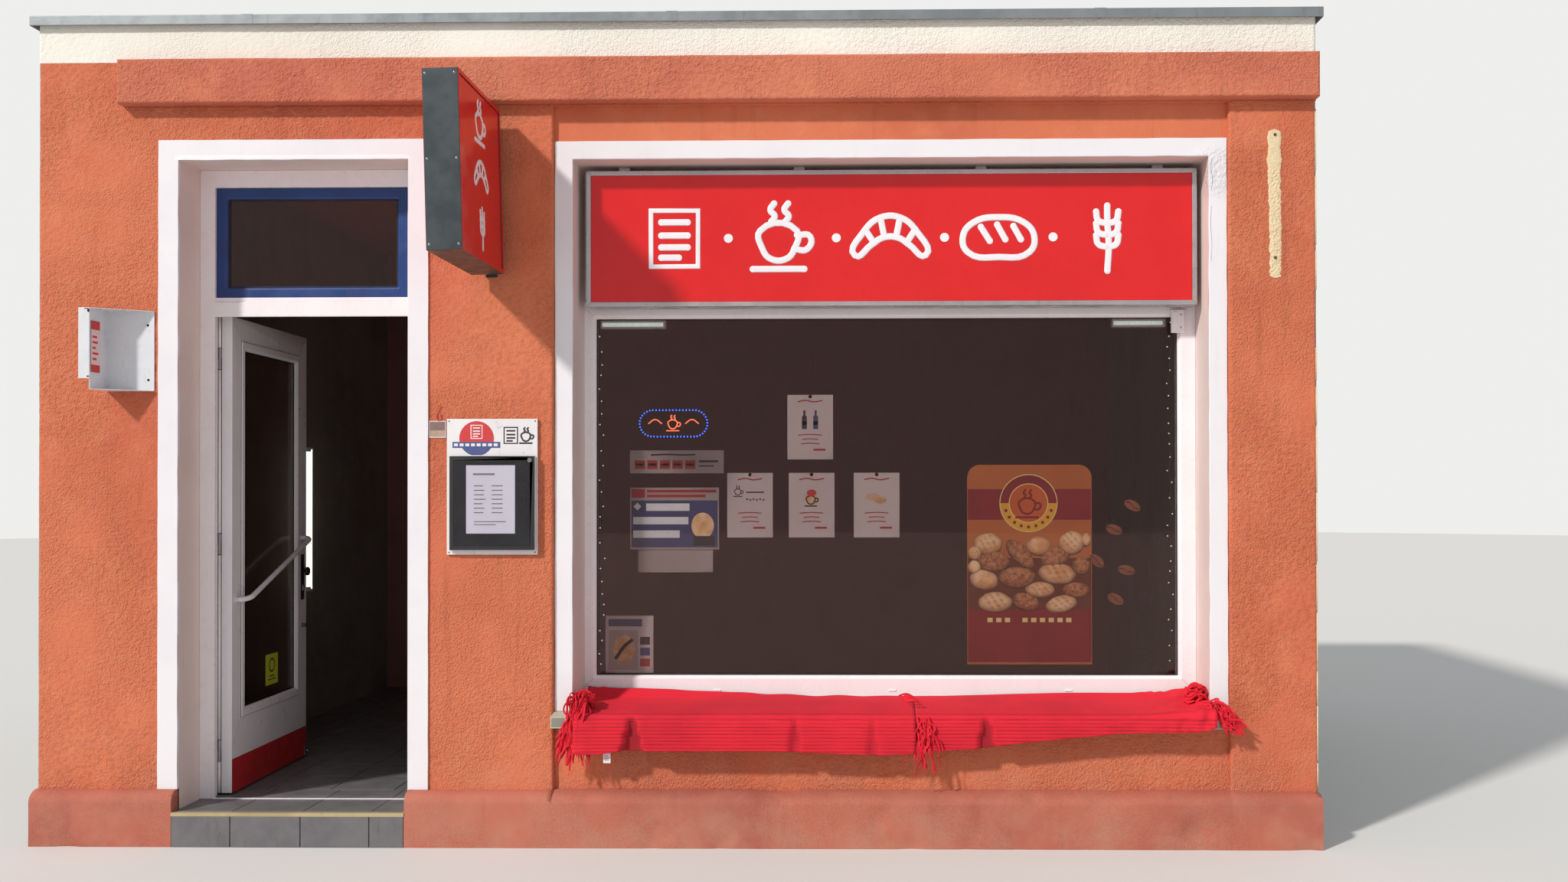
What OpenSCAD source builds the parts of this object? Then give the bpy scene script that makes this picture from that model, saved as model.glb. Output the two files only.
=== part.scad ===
/* [Building] */
// Depth from the front wall plane to the rear wall plane
depth = 4000; // [3000:50:7000]
// Width of the wall between the left end and the doorway
pier_left_w = 627; // [560:1:900]
// Width of the wall between the doorway and the window
pier_mid_w = 720; // [660:1:1200]
// Width of the wall between the window and the right end
pier_right_w = 462; // [300:1:900]
// Thickness of the front wall
front_wall_t = 400; // [380:5:500]
// Thickness of each party wall
side_wall_t = 240; // [175:5:365]
// Thickness of the rear wall
rear_wall_t = 300; // [200:5:400]
// Height of the walls above the door and window heads
over_head_h = 234; // [200:1:590]
// Thickness of the roof slab
slab_t = 200; // [160:5:300]
// Height of the finished floor and of the doorstep above the ground
floor_h = 150; // [100:5:185]

/* [Plinth and bands] */
// Height of the plinth where it meets the wall
plinth_h = 240; // [220:1:400]
// Height of the moulding at the top of the plinth
plinth_mould_h = 48; // [20:1:80]
// Projection of the plinth from the wall
plinth_out = 62; // [40:1:100]
// Distance of the belt band's left end from the left end of the building
belt_start = 378; // [100:1:600]
// Projection of the belt band from the wall
belt_out = 58; // [30:1:90]
// Height of the belt band's lower edge above the roof slab's underside
belt_drop = 4; // [0:1:40]
// Width of the plaster band round the doorway
door_band_w = 88; // [60:1:130]
// Width of the plaster band round the window
window_band_w = 80; // [60:1:130]
// Thickness of the plaster bands
band_t = 8; // [4:1:20]
// Depth by which the window bay is set back from the piers
bay_in = 27; // [15:1:60]

/* [Parapet and roof] */
// Height of the parapet above the roof slab
parapet_h = 192; // [150:1:400]
// Thickness of the parapet
parapet_t = 220; // [160:5:300]
// Overhang of the coping beyond the parapet
coping_out = 26; // [15:1:60]
// Thickness of the coping's top sheet
coping_t = 10; // [4:1:20]
// Height of the coping's drip edge
coping_lip_h = 34; // [20:1:80]
// Thickness of the roof covering at the edge
roofing_t = 20; // [10:1:60]
// Extra height of the roof covering at its ridge
roofing_fall = 50; // [20:1:100]

/* [Doorway] */
// Width of the doorway between the plaster reveals
door_open_w = 1020; // [980:1:1300]
// Height of the door and window heads above the ground
head_h = 3010; // [2990:1:3100]
// Distance of the door frame's face behind the wall plane
door_frame_in = 190; // [120:1:220]
// Thickness of the door frame
door_frame_t = 72; // [62:1:90]
// Width of the frame's jambs that shows from outside
jamb_w = 69; // [50:1:90]
// Height of the frame's head
frame_head_h = 78; // [50:1:120]
// Height of the transom bar's lower edge
transom_z = 2343; // [2200:1:2450]
// Height of the transom bar
transom_bar_h = 68; // [50:1:100]
// Height of the slip bead on the transom bar
slip_h = 20; // [10:1:30]
// Depth of the leaf's rebate into the frame
rebate_w = 19; // [15:1:25]
// Gap round the leaf
leaf_gap = 7; // [6:0.5:9]
// Clearance between the kick plate and the frame's stop
stop_gap = 5; // [5:0.5:8]
// Height of the threshold strip
threshold_h = 5; // [2:1:10]

/* [Door leaf] */
// Thickness of the leaf
leaf_t = 48; // [44:1:56]
// Gap under the leaf
leaf_floor_gap = 9; // [6:1:15]
// Width of the leaf's stiles
stile_w = 98; // [80:1:130]
// Height of the leaf's top rail
top_rail_h = 106; // [80:1:150]
// Height of the leaf's bottom rail
bottom_rail_h = 334; // [250:1:450]
// Width of the glazing beads
bead_w = 40; // [20:1:50]
// Projection of the glazing beads from the leaf's face
bead_out = 6; // [3:1:8]
// Bevel of the glazing beads towards the glass
bead_bevel = 11; // [4:1:12]
// Thickness of the door glass
door_glass_t = 20; // [6:1:24]
// Height of the kick plate
kick_h = 155; // [100:1:230]
// Thickness of the kick plate
kick_t = 2; // [1:0.5:4]
// Angle by which the leaf stands open
open_angle = 92; // [60:1:98]
// Radius of the hinge barrels
hinge_r = 7.5; // [6:0.5:9]
// Height of one hinge
hinge_h = 96; // [80:1:120]

/* [Door furniture] */
// Diameter of the pull bar
bar_d = 24; // [18:1:30]
// Clear distance of the pull bar from the leaf
bar_off = 46; // [35:1:60]
// Height of the pull bar's low end above the leaf's foot
bar_low_z = 887; // [750:1:950]
// Rise of the pull bar to its high end
bar_rise = 261; // [0:1:320]
// Height of the lock's middle above the leaf's foot
lock_z = 941; // [850:1:1050]
// Height of the lock's plate
lock_plate_h = 236; // [150:1:260]
// Width of the lock's plate
lock_plate_w = 40; // [30:1:50]
// Diameter of the lock's knob
knob_d = 46; // [36:1:50]

/* [Shop window] */
// Width of the window between the plaster reveals
win_open_w = 2791; // [2700:1:3400]
// Height of the underside of the window sill
apron_h = 518; // [450:1:700]
// Height of the sill's front edge
sill_nose_h = 52; // [30:1:70]
// Height of the sill at the window frame
sill_back_h = 90; // [75:1:120]
// Projection of the sill from the wall plane
sill_out = 60; // [40:1:90]
// Distance of the window frame's face behind the wall plane
win_frame_in = 265; // [240:1:290]
// Thickness of the window frame
win_frame_t = 75; // [62:1:90]
// Width of the window frame's left stile that shows
win_stile_l_w = 54; // [45:1:90]
// Width of the window frame's right stile
win_stile_r_w = 80; // [45:1:90]
// Height of the window frame's bottom rail
win_bottom_h = 96; // [70:1:120]
// Height of the window frame's top rail
win_top_h = 80; // [60:1:110]
// Height of the lower edge of the window frame's top rail
win_glass_top = 2337; // [2250:1:2345]
// Set-back of the glass in the window frame
glass_in = 24; // [16:1:30]
// Bevel of the window frame's inner edge towards the glass
win_bevel = 13; // [4:1:14]
// Thickness of the window's glass
win_glass_t = 24; // [6:1:28]

/* [Fascia sign] */
// Height of the fascia sign
fascia_h = 610; // [400:1:615]
// Depth of the fascia sign
fascia_d = 100; // [60:1:120]
// Distance of the fascia sign's face behind the wall plane
fascia_in = 128; // [60:1:140]
// Gap between the window's left reveal and the fascia sign
fascia_gap_l = 37; // [8:1:200]
// Gap between the fascia sign and the window's right reveal
fascia_gap_r = 25; // [8:1:200]
// Gap between the window's head and the fascia sign
fascia_top_gap = 26; // [10:1:40]
// Width of the fascia sign's frame profile
fascia_rim = 21; // [12:1:30]

/* [Bracket sign] */
// Thickness of the bracket sign
bracket_t = 142; // [100:1:200]
// Length of the bracket sign from its wall side to its front
bracket_l = 610; // [400:1:800]
// Height of the bracket sign
bracket_h = 712; // [500:1:720]
// Gap between the belt band and the top of the bracket sign
bracket_drop = 46; // [30:1:200]
// Distance of the bracket sign's middle from the doorway's right side
bracket_x = 358; // [330:1:420]
// Gap between the wall and the bracket sign
bracket_gap = 60; // [60:1:120]
// Lean of the bracket sign out of plumb
bracket_lean = 1.5; // [0:0.1:3]

/* [Notice board] */
// Width of the notice board
board_w = 399; // [370:1:420]
// Height of the notice board
board_h = 595; // [520:1:700]
// Height of the notice board's lower edge
board_z = 1270; // [1000:1:1500]
// Distance of the notice board from the doorway's right side
board_x = 173; // [110:1:190]
// Thickness of the notice board
board_t = 12; // [6:1:20]
// Width of the locked notice case
case_w = 371; // [250:1:371]
// Height of the locked notice case
case_h = 410; // [320:1:450]
// Depth of the locked notice case
case_d = 26; // [16:1:40]

/* [Wall rack] */
// Inner width of the rack
rack_w = 212; // [150:1:260]
// Height of the rack
rack_h = 353; // [250:1:450]
// Height of the rack's lower edge
rack_z = 1990; // [1500:1:2200]
// Depth of the rack's side
rack_d = 140; // [80:1:180]
// Width of the rack's front flange
rack_flange_w = 48; // [20:1:60]
// Thickness of the rack's sheet
rack_t = 3; // [2:0.5:5]

/* [Window contents] */
// Thickness of the sheets of paper on the glass
paper_t = 1; // [0.5:0.1:2]
// Width of the display board
display_w = 570; // [400:1:650]
// Height of the display board
display_h = 915; // [700:1:1000]
// Thickness of the display board
display_t = 8; // [4:1:15]
// Length of the ring sign
ring_w = 325; // [250:1:400]
// Height of the ring sign
ring_h = 134; // [100:1:200]
// Height and depth of the window lamps
lamp_s = 40; // [30:1:60]

/* [Throw] */
// Thickness of the folded throw
throw_t = 16; // [8:1:30]
// Length of the throw's drop in front of the sill
throw_drop = 150; // [80:1:250]

/* [Hidden] */
$fn = 48;
lap = 1;

// Small fixed sizes
nosing_t = 4;
nosing_w = 26;
nosing_lip_h = 16;
coping_sheet = 4;
sash_in = 14;
sash_t = 44;
sash_rail = 53;
sash_bottom = 49;
sash_bevel = 8;
sash_glass_in = 12;
sash_glass_t = 8;
slip_in = 6;
leaf_top_extra = 2;
leaf_glass_in = 14;
kick_margin = 2;
bar_bend = 45;
bar_low_x = 50;
bar_high_x = 825;
bar_rose_d = 32;
bar_rose_t = 5;
lock_in = 56;
lock_rose_d = 14;
lock_rose_l = 16;
lock_corner_r = 6;
knob_up = 30;
knob_t = 18;
knob_dome = 3;
plate_t = 3;
hinge_end = 150;
hinge_back = 0.5;
hinge_pin_r = 4;
pin_clear = 0.3;
flag_t = 3;
flag_w = 34;
flag_lap = 6;
flag_margin = 2;
pin_short = 12;
socket_cap = 8;
barrel_gap = 0.6;
blind_in = 12;
groove_in = 14;
groove_w = 8;
panel_in = 4;
panel_t = 5;
bracket_rim = 16;
lug_w = 50;
lug_t = 8;
fascia_lugs = [0.06, 0.35, 0.65, 0.94];
bracket_lugs = [-0.4, 0.4];
case_rim = 18;
case_margin = 19;
case_foot = 21;
case_pane_in = 6;
cam_d = 18;
cam_h = 5;
rack_margin = 18;
rack_notch = 47;
rack_lip = 6;
display_x = 386;
display_foot = 47;
display_r = 60;
ring_x = 188;
ring_z = 411;
ring_tube = 10;
lamp_l = [302, 246];
lamp_in = [12, 45];
throw_clear = 0.3;
throw_in = [24, 1];
throw_split = 1500;
throw_back = 20;

// Plan: the building runs from x_left to x_right, its front faces -Y
width = pier_left_w + door_open_w + pier_mid_w + win_open_w + pier_right_w;
x_left = -width / 2;
x_right = width / 2;
wall_h = head_h + over_head_h;
x_door_l = x_left + pier_left_w;
x_door_r = x_door_l + door_open_w;
x_win_l = x_door_r + pier_mid_w;
x_win_r = x_win_l + win_open_w;
y_front = -depth / 2;
y_rear = depth / 2;
y_bay = y_front + bay_in;
y_inner = y_front + front_wall_t;
y_rear_in = y_rear - rear_wall_t;
roof_z = wall_h + slab_t;

// Door frame, from outside to inside
y_dframe = y_front + door_frame_in;
y_dback = y_dframe + door_frame_t;
stop_t = door_frame_t - leaf_t - kick_t - stop_gap;
x_jamb_l = x_door_l + jamb_w;
x_jamb_r = x_door_r - jamb_w;
sash_z0 = transom_z + transom_bar_h + slip_h;
sash_z1 = head_h - frame_head_h;
leaf_w = x_jamb_r - x_jamb_l + 2 * (rebate_w - leaf_gap);
leaf_z = floor_h + leaf_floor_gap;
leaf_h = transom_z + rebate_w - leaf_gap + leaf_top_extra - leaf_z;
pin_x = x_jamb_l - rebate_w + leaf_gap / 2;
pin_y = y_dback + hinge_r + hinge_back;
leaf_x = leaf_gap / 2;
leaf_y = y_dback - pin_y;
hinge_zs = [leaf_z + hinge_end, leaf_z + leaf_h / 2, leaf_z + leaf_h - hinge_end - hinge_h];

// Shop window, from outside to inside
y_wframe = y_front + win_frame_in;
y_glass = y_wframe + glass_in;
y_glass_in = y_glass + win_glass_t;
y_wback = y_wframe + win_frame_t;
y_nose = y_front - sill_out;
nose_top = apron_h + sill_nose_h;
sill_top = apron_h + sill_back_h;
win_z1 = win_glass_top + win_top_h;
glass_x0 = x_win_l + win_stile_l_w;
glass_x1 = x_win_r - win_stile_r_w;
glass_z0 = sill_top + win_bottom_h;
glass_bed = 14;

// Fascia sign and bracket sign
fascia_w = win_open_w - fascia_gap_l - fascia_gap_r;
x_fascia = x_win_l + fascia_gap_l;
z_fascia = head_h - fascia_top_gap - fascia_h;
y_fascia = y_front + fascia_in;
x_bracket = x_door_r + bracket_x;
z_bracket = wall_h + belt_drop - bracket_drop - bracket_h / 2;

// Sheets on the inside of the glass: distance from the glass's left edge, foot above the glass's
// lower edge, width and height
a4_w = 210;
a4_h = 297;
a4_row_x = [598, 882, 1181];
a4_row_z = 629;
a4_top = [876, 988];
header_sheet = [149, 925, 433, 106];
news_sheet = [150, 574, 410, 285];
faded_sheet = [187, 469, 345, 102];
magazine_sheet = [36, 6, 221, 263];
sheets = concat([for (x = a4_row_x) [x, a4_row_z, a4_w, a4_h]],
  [[a4_top.x, a4_top.y, a4_w, a4_h], header_sheet, news_sheet, faded_sheet, magazine_sheet]);

module block(from, to) translate(from) cube(to - from);

// A prism along X from a profile of [y, z] points
module along_x(x0, x1, profile)
  translate([x0, 0, 0]) rotate([90, 0, 90]) linear_extrude(x1 - x0) polygon(profile);

// A frame in the XZ plane: outer size, four rail widths as [left, right, bottom, top], and depth
module frame_xz(w, h, rails, t)
  translate([0, t, 0]) rotate([90, 0, 0]) linear_extrude(t) difference() {
    square([w, h]);
    translate([rails[0], rails[2]]) square([w - rails[0] - rails[1], h - rails[2] - rails[3]]);
  }

// The bevel round a frame's opening of w by h, cut from its outer face; two crossed prisms leave mitres
module bevel_cut(w, h, bevel) {
  over = bevel + lap;
  intersection() {
    translate([0, 0, -over]) linear_extrude(h + 2 * over)
      polygon([[-over, -lap], [w + over, -lap], [w, bevel], [0, bevel]]);
    along_x(-over, w + over, [[-lap, -over], [bevel, 0], [bevel, h], [-lap, h + over]]);
  }
}

// A flat outline with four round corners
module round_outline(w, h, r) {
  translate([r, 0]) square([w - 2 * r, h]);
  translate([0, r]) square([w, h - 2 * r]);
  for (x = [r, w - r], y = [r, h - r]) translate([x, y]) circle(r = r);
}

// Height of the sill's sloping top at a place along Y
function sill_z(y) = nose_top + (sill_top - nose_top) * (y - y_nose) / (y_wframe - y_nose);

module floor_slab() color("dimgray")
  block([x_left + side_wall_t, y_inner, 0], [x_right - side_wall_t, y_rear_in, floor_h]);

module door_step() color("gray") difference() {
  block([x_door_l, y_front - plinth_out, 0], [x_door_r, y_inner, floor_h]);
  nosing_profile(lap);
}

module nosing_profile(over) {
  y0 = y_front - plinth_out;
  from = [x_door_l - over, y0 - over];
  to_x = x_door_r + over;
  block([from.x, from.y, floor_h - nosing_lip_h], [to_x, y0 + nosing_t, floor_h + over]);
  block([from.x, from.y, floor_h - nosing_t], [to_x, y0 + nosing_w, floor_h + over]);
}

module step_nosing() color("beige") nosing_profile(0);

// The plinth's moulding leans back to the wall with a hollow face
function plinth_profile(y0, out) = [[y0, 0], [y0 - out, 0], [y0 - out, plinth_h - plinth_mould_h],
  for (a = [0 : 15 : 90]) [y0 - out + out * (1 - cos(a)), plinth_h - plinth_mould_h * (1 - sin(a))]];

module plinth() color("indianred") {
  along_x(x_left, x_door_l, plinth_profile(y_front, plinth_out));
  along_x(x_door_r, x_win_l - window_band_w, plinth_profile(y_front, plinth_out));
  along_x(x_win_l - window_band_w, x_win_r + window_band_w, plinth_profile(y_bay, plinth_out + bay_in));
  along_x(x_win_r + window_band_w, x_right, plinth_profile(y_front, plinth_out));
  mirror([0, 1, 0]) along_x(x_left, x_right, plinth_profile(-y_rear, plinth_out));
}

module pier_left() color("brown") block([x_left, y_front, 0], [x_door_l, y_inner, wall_h]);

// The pier's face steps back by bay_in beside the window
module pier_middle() color("brown") linear_extrude(wall_h) polygon([
  [x_door_r, y_front], [x_win_l - window_band_w, y_front], [x_win_l - window_band_w, y_bay],
  [x_win_l, y_bay], [x_win_l, y_inner], [x_door_r, y_inner]]);

module pier_right() color("brown") linear_extrude(wall_h) polygon([
  [x_win_r, y_bay], [x_win_r + window_band_w, y_bay], [x_win_r + window_band_w, y_front],
  [x_right, y_front], [x_right, y_inner], [x_win_r, y_inner]]);

module wall_over_door() color("brown") block([x_door_l, y_front, head_h], [x_door_r, y_inner, wall_h]);

module wall_over_window() color("brown") block([x_win_l, y_bay, head_h], [x_win_r, y_inner, wall_h]);

module window_apron() color("brown") block([x_win_l, y_bay, 0], [x_win_r, y_inner, apron_h]);

module party_wall_left() color("silver")
  block([x_left, y_inner, 0], [x_left + side_wall_t, y_rear_in, wall_h]);

module party_wall_right() color("silver")
  block([x_right - side_wall_t, y_inner, 0], [x_right, y_rear_in, wall_h]);

module rear_wall() color("brown") block([x_left, y_rear_in, 0], [x_right, y_rear, wall_h]);

module roof_slab() color("brown") block([x_left, y_front, wall_h], [x_right, y_rear, roof_z]);

module belt_band() color("brown") {
  block([x_left + belt_start, y_front - belt_out, wall_h + belt_drop], [x_right, y_front, roof_z]);
  block([x_left, y_rear, wall_h + belt_drop], [x_right, y_rear + belt_out, roof_z]);
}

// A flat ring in the plan of the parapet, grown by an edge on its outside and its inside
module parapet_ring(edge) difference() {
  square([width + 2 * edge, depth + 2 * edge], center = true);
  square([width - 2 * parapet_t - 2 * edge, depth - 2 * parapet_t - 2 * edge], center = true);
}

module parapet() color("gainsboro") translate([0, 0, roof_z]) linear_extrude(parapet_h) parapet_ring(0);

// The coping is a sheet cap with a drip edge on both sides of the parapet
module coping() color("slategray") translate([0, 0, roof_z + parapet_h]) difference() {
  translate([0, 0, -coping_lip_h]) linear_extrude(coping_lip_h + coping_t) parapet_ring(coping_out);
  translate([0, 0, -coping_lip_h - lap]) linear_extrude(coping_lip_h + lap)
    parapet_ring(coping_out - coping_sheet);
}

// The roof covering falls both ways from a ridge along the middle
module roof_covering() color("dimgray") {
  y0 = y_rear - parapet_t;
  edge_z = roof_z + roofing_t;
  along_x(x_left + parapet_t, x_right - parapet_t,
    [[-y0, roof_z], [y0, roof_z], [y0, edge_z], [0, edge_z + roofing_fall], [-y0, edge_z]]);
}

// A plaster band on three sides of an opening, standing on a foot height
module surround(x0, x1, z0, w, y) translate([x0 - w, y - band_t, z0]) difference() {
  cube([x1 - x0 + 2 * w, band_t, head_h + w - z0]);
  translate([w, -lap, -lap]) cube([x1 - x0, band_t + 2 * lap, head_h - z0 + lap]);
}

module door_surround() color("white") surround(x_door_l, x_door_r, plinth_h, door_band_w, y_front);

module window_surround() color("white")
  surround(x_win_l, x_win_r, sill_z(y_bay - band_t), window_band_w, y_bay);

// Jambs, head and transom bar, rebated at the back for the leaf, with a threshold strip
module door_frame() color("whitesmoke") {
  front = y_dframe - lap;
  back = y_dback + lap;
  difference() {
    block([x_door_l, y_dframe, floor_h], [x_door_r, y_dback, head_h]);
    block([x_jamb_l, front, floor_h - lap], [x_jamb_r, back, transom_z]);
    block([x_jamb_l - rebate_w, y_dframe + stop_t, floor_h - lap],
      [x_jamb_r + rebate_w, back, transom_z + rebate_w + leaf_top_extra]);
    block([x_jamb_l, front, sash_z0], [x_jamb_r, back, sash_z1]);
    block([x_jamb_l, front, transom_z + transom_bar_h], [x_jamb_r, y_dframe + slip_in, sash_z0]);
  }
  block([x_jamb_l, y_dframe, floor_h], [x_jamb_r, y_dframe + stop_t, floor_h + threshold_h]);
}

// The fanlight's sash and its glass, which is bedded all round in the rails
module transom_sash() color("midnightblue") difference() {
  w = x_jamb_r - x_jamb_l;
  h = sash_z1 - sash_z0;
  translate([x_jamb_l, y_dframe + sash_in, sash_z0]) difference() {
    frame_xz(w, h, [sash_rail, sash_rail, sash_bottom, sash_rail], sash_t);
    translate([sash_rail, 0, sash_bottom])
      bevel_cut(w - 2 * sash_rail, h - sash_bottom - sash_rail, sash_bevel);
  }
  transom_pane();
}

module transom_pane() {
  y0 = y_dframe + sash_in + sash_glass_in;
  block([x_jamb_l + sash_rail - glass_bed, y0, sash_z0 + sash_bottom - glass_bed],
    [x_jamb_r - sash_rail + glass_bed, y0 + sash_glass_t, sash_z1 - sash_rail + glass_bed]);
}

module transom_glass() color("lightsteelblue") transom_pane();

// The leaf and all that it carries is drawn closed from the hinge pin and turned open
module at_hinge() translate([pin_x, pin_y, 0]) rotate([0, 0, open_angle]) children();

leaf_face = leaf_y - leaf_t;
leaf_glass_y = leaf_face + leaf_glass_in;
pane_w = leaf_w - 2 * stile_w;
pane_h = leaf_h - top_rail_h - bottom_rail_h;

module at_leaf_opening() at_hinge() translate([leaf_x + stile_w, 0, leaf_z + bottom_rail_h]) children();

module door_leaf() color("white") at_hinge() translate([leaf_x, leaf_face, leaf_z])
  frame_xz(leaf_w, leaf_h, [stile_w, stile_w, bottom_rail_h, top_rail_h], leaf_t);

module door_glass() color("lightsteelblue") at_leaf_opening()
  translate([0, leaf_glass_y, 0]) cube([pane_w, door_glass_t, pane_h]);

module bead_frame(t) difference() {
  frame_xz(pane_w, pane_h, [bead_w, bead_w, bead_w, bead_w], t);
  translate([bead_w, 0, bead_w]) bevel_cut(pane_w - 2 * bead_w, pane_h - 2 * bead_w, bead_bevel);
}

// Bevelled beads hold the glass from both sides and stand proud of the leaf's outer face
module glazing_beads() color("whitesmoke") at_leaf_opening() {
  front = leaf_face - bead_out;
  back = leaf_glass_y + door_glass_t;
  translate([0, front, 0]) bead_frame(leaf_glass_y - front);
  translate([0, leaf_y, 0]) mirror([0, 1, 0]) bead_frame(leaf_y - back);
}

module kick_plate() color("firebrick") at_hinge()
  translate([leaf_x + kick_margin, leaf_face - kick_t, leaf_z])
    cube([leaf_w - 2 * kick_margin, kick_t, kick_h]);

// The pull bar is one bent round bar: a foot in a rose, an elbow, the slanting run, an elbow and a foot
bar_run = sqrt(pow(bar_high_x - bar_low_x, 2) + pow(bar_rise, 2));
bar_leg = bar_off + bar_d / 2 - bar_bend;

module bar_elbow(turn)
  rotate([0, 0, turn]) rotate_extrude(angle = 90) translate([bar_bend, 0]) circle(d = bar_d);

module pull_handle() color("white") at_hinge()
  translate([leaf_x + bar_low_x, leaf_face, leaf_z + bar_low_z])
    rotate([0, -atan(bar_rise / (bar_high_x - bar_low_x)), 0]) {
      for (x = [0, bar_run]) translate([x, 0, 0]) rotate([90, 0, 0]) {
        cylinder(d = bar_d, h = bar_leg);
        cylinder(d = bar_rose_d, h = bar_rose_t);
      }
      translate([bar_bend, -bar_leg, 0]) bar_elbow(180);
      translate([bar_run - bar_bend, -bar_leg, 0]) bar_elbow(270);
      translate([bar_bend, -bar_leg - bar_bend, 0]) rotate([0, 90, 0])
        cylinder(d = bar_d, h = bar_run - 2 * bar_bend);
    }

// Half of the knob's section: a neck and a domed knob with a round edge
function knob_section() =
  let (edge = knob_t / 2)
  concat([[0, 0], [lock_rose_d / 2, 0], [lock_rose_d / 2, lock_rose_l]],
    [for (a = [-90 : 15 : 90]) [knob_d / 2 - edge + edge * cos(a), lock_rose_l + edge + edge * sin(a)]],
    [[0, lock_rose_l + knob_t + knob_dome]]);

// Lock plate and turning knob on the leaf's outer face
module door_lock() color("dimgray") at_hinge()
  translate([leaf_x + leaf_w - lock_in, leaf_face, leaf_z + lock_z]) rotate([90, 0, 0]) {
    linear_extrude(plate_t) translate([-lock_plate_w / 2, -lock_plate_h / 2])
      round_outline(lock_plate_w, lock_plate_h, lock_corner_r);
    translate([0, knob_up, plate_t]) rotate_extrude() polygon(knob_section());
  }

// Lift-off hinges: a lower barrel with its pin on the frame, an upper barrel on the leaf
module hinge_flag(x)
  translate([x, -hinge_r - hinge_back, flag_margin]) cube([flag_w, flag_t, hinge_h / 2 - 2 * flag_margin]);

module door_hinges_frame() color("silver") for (z = hinge_zs) translate([pin_x, pin_y, z]) {
  cylinder(r = hinge_r, h = hinge_h / 2);
  cylinder(r = hinge_pin_r, h = hinge_h - pin_short);
  hinge_flag(flag_lap - hinge_r - flag_w);
}

module door_hinges_leaf() color("silver") at_hinge()
  for (z = hinge_zs) translate([0, 0, z + hinge_h / 2 + barrel_gap]) difference() {
    union() {
      cylinder(r = hinge_r, h = hinge_h / 2 - barrel_gap);
      hinge_flag(hinge_r - flag_lap);
    }
    translate([0, 0, -lap]) cylinder(r = hinge_pin_r + pin_clear, h = hinge_h / 2 - socket_cap);
  }

// The window frame is bedded between the reveals, with a blind panel behind the fascia sign
module window_frame() color("white") {
  rails = [win_stile_l_w, win_stile_r_w, win_bottom_h, win_top_h];
  difference() {
    translate([x_win_l, y_wframe, sill_top])
      frame_xz(win_open_w, win_z1 - sill_top, rails, win_frame_t);
    translate([glass_x0, y_wframe, glass_z0])
      bevel_cut(glass_x1 - glass_x0, win_glass_top - glass_z0, win_bevel);
    window_pane();
  }
  block([x_win_l, y_wframe + blind_in, win_z1], [x_win_r, y_wback - blind_in, head_h]);
}

module window_pane()
  block([glass_x0 - glass_bed, y_glass, glass_z0 - glass_bed],
    [glass_x1 + glass_bed, y_glass_in, win_glass_top + glass_bed]);

module window_glass() color("lightsteelblue") window_pane();

// A stone sill with a sloping top, ears under the plaster band and a drip groove under its nose
module window_sill() color("gainsboro") {
  seat_y = y_bay - band_t;
  seat_z = sill_z(seat_y);
  ear = [[y_nose, apron_h], [y_bay, apron_h], [y_bay, seat_z], [seat_y, seat_z], [y_nose, nose_top]];
  bed = [[y_nose, apron_h], [y_wback, apron_h], [y_wback, sill_top], [y_wframe, sill_top],
    [y_nose, nose_top]];
  groove = y_nose + groove_in;
  difference() {
    union() {
      along_x(x_win_l, x_win_r, bed);
      along_x(x_win_l - window_band_w, x_win_l, ear);
      along_x(x_win_r, x_win_r + window_band_w, ear);
    }
    block([x_win_l - window_band_w - lap, groove, apron_h - lap],
      [x_win_r + window_band_w + lap, groove + groove_w, apron_h + groove_w]);
  }
}

// The fascia sign is a shallow box hung from the window's head on four flat lugs
module fascia_sign_case() color("silver") {
  translate([x_fascia, y_fascia, z_fascia]) difference() {
    cube([fascia_w, fascia_d, fascia_h]);
    translate([fascia_rim, -lap, fascia_rim])
      cube([fascia_w - 2 * fascia_rim, panel_in + panel_t + lap, fascia_h - 2 * fascia_rim]);
  }
  for (k = fascia_lugs)
    translate([x_fascia + k * fascia_w - lug_w / 2, y_fascia + fascia_d / 2, z_fascia + fascia_h])
      cube([lug_w, lug_t, fascia_top_gap]);
}

module fascia_sign_panel() color("crimson")
  translate([x_fascia + fascia_rim, y_fascia + panel_in, z_fascia + fascia_rim])
    cube([fascia_w - 2 * fascia_rim, panel_t, fascia_h - 2 * fascia_rim]);

// The bracket sign hangs askew, turned about its wall fixing
module at_bracket()
  translate([x_bracket, y_front - bracket_gap, z_bracket]) rotate([0, -bracket_lean, 0]) children();

module bracket_sign_case() color("slategray") at_bracket() {
  recess = panel_in + panel_t;
  difference() {
    translate([-bracket_t / 2, -bracket_l, -bracket_h / 2]) cube([bracket_t, bracket_l, bracket_h]);
    for (s = [-1, 1]) translate([s * (bracket_t - recess + lap) / 2, -bracket_l / 2, 0])
      cube([recess + lap, bracket_l - 2 * bracket_rim, bracket_h - 2 * bracket_rim], center = true);
  }
  for (k = bracket_lugs) translate([-lug_w / 2, 0, k * bracket_h - lug_w]) {
    translate([0, 0, lug_w / 2]) cube([lug_w, bracket_gap, lug_t]);
    translate([0, bracket_gap - lug_t, -lug_w / 2]) cube([lug_w, lug_t, lug_w]);
  }
}

module bracket_sign_panels() color("crimson") at_bracket() for (s = [-1, 1])
  translate([s * (bracket_t / 2 - panel_in - panel_t / 2), -bracket_l / 2, 0])
    cube([panel_t, bracket_l - 2 * bracket_rim, bracket_h - 2 * bracket_rim], center = true);

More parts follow.
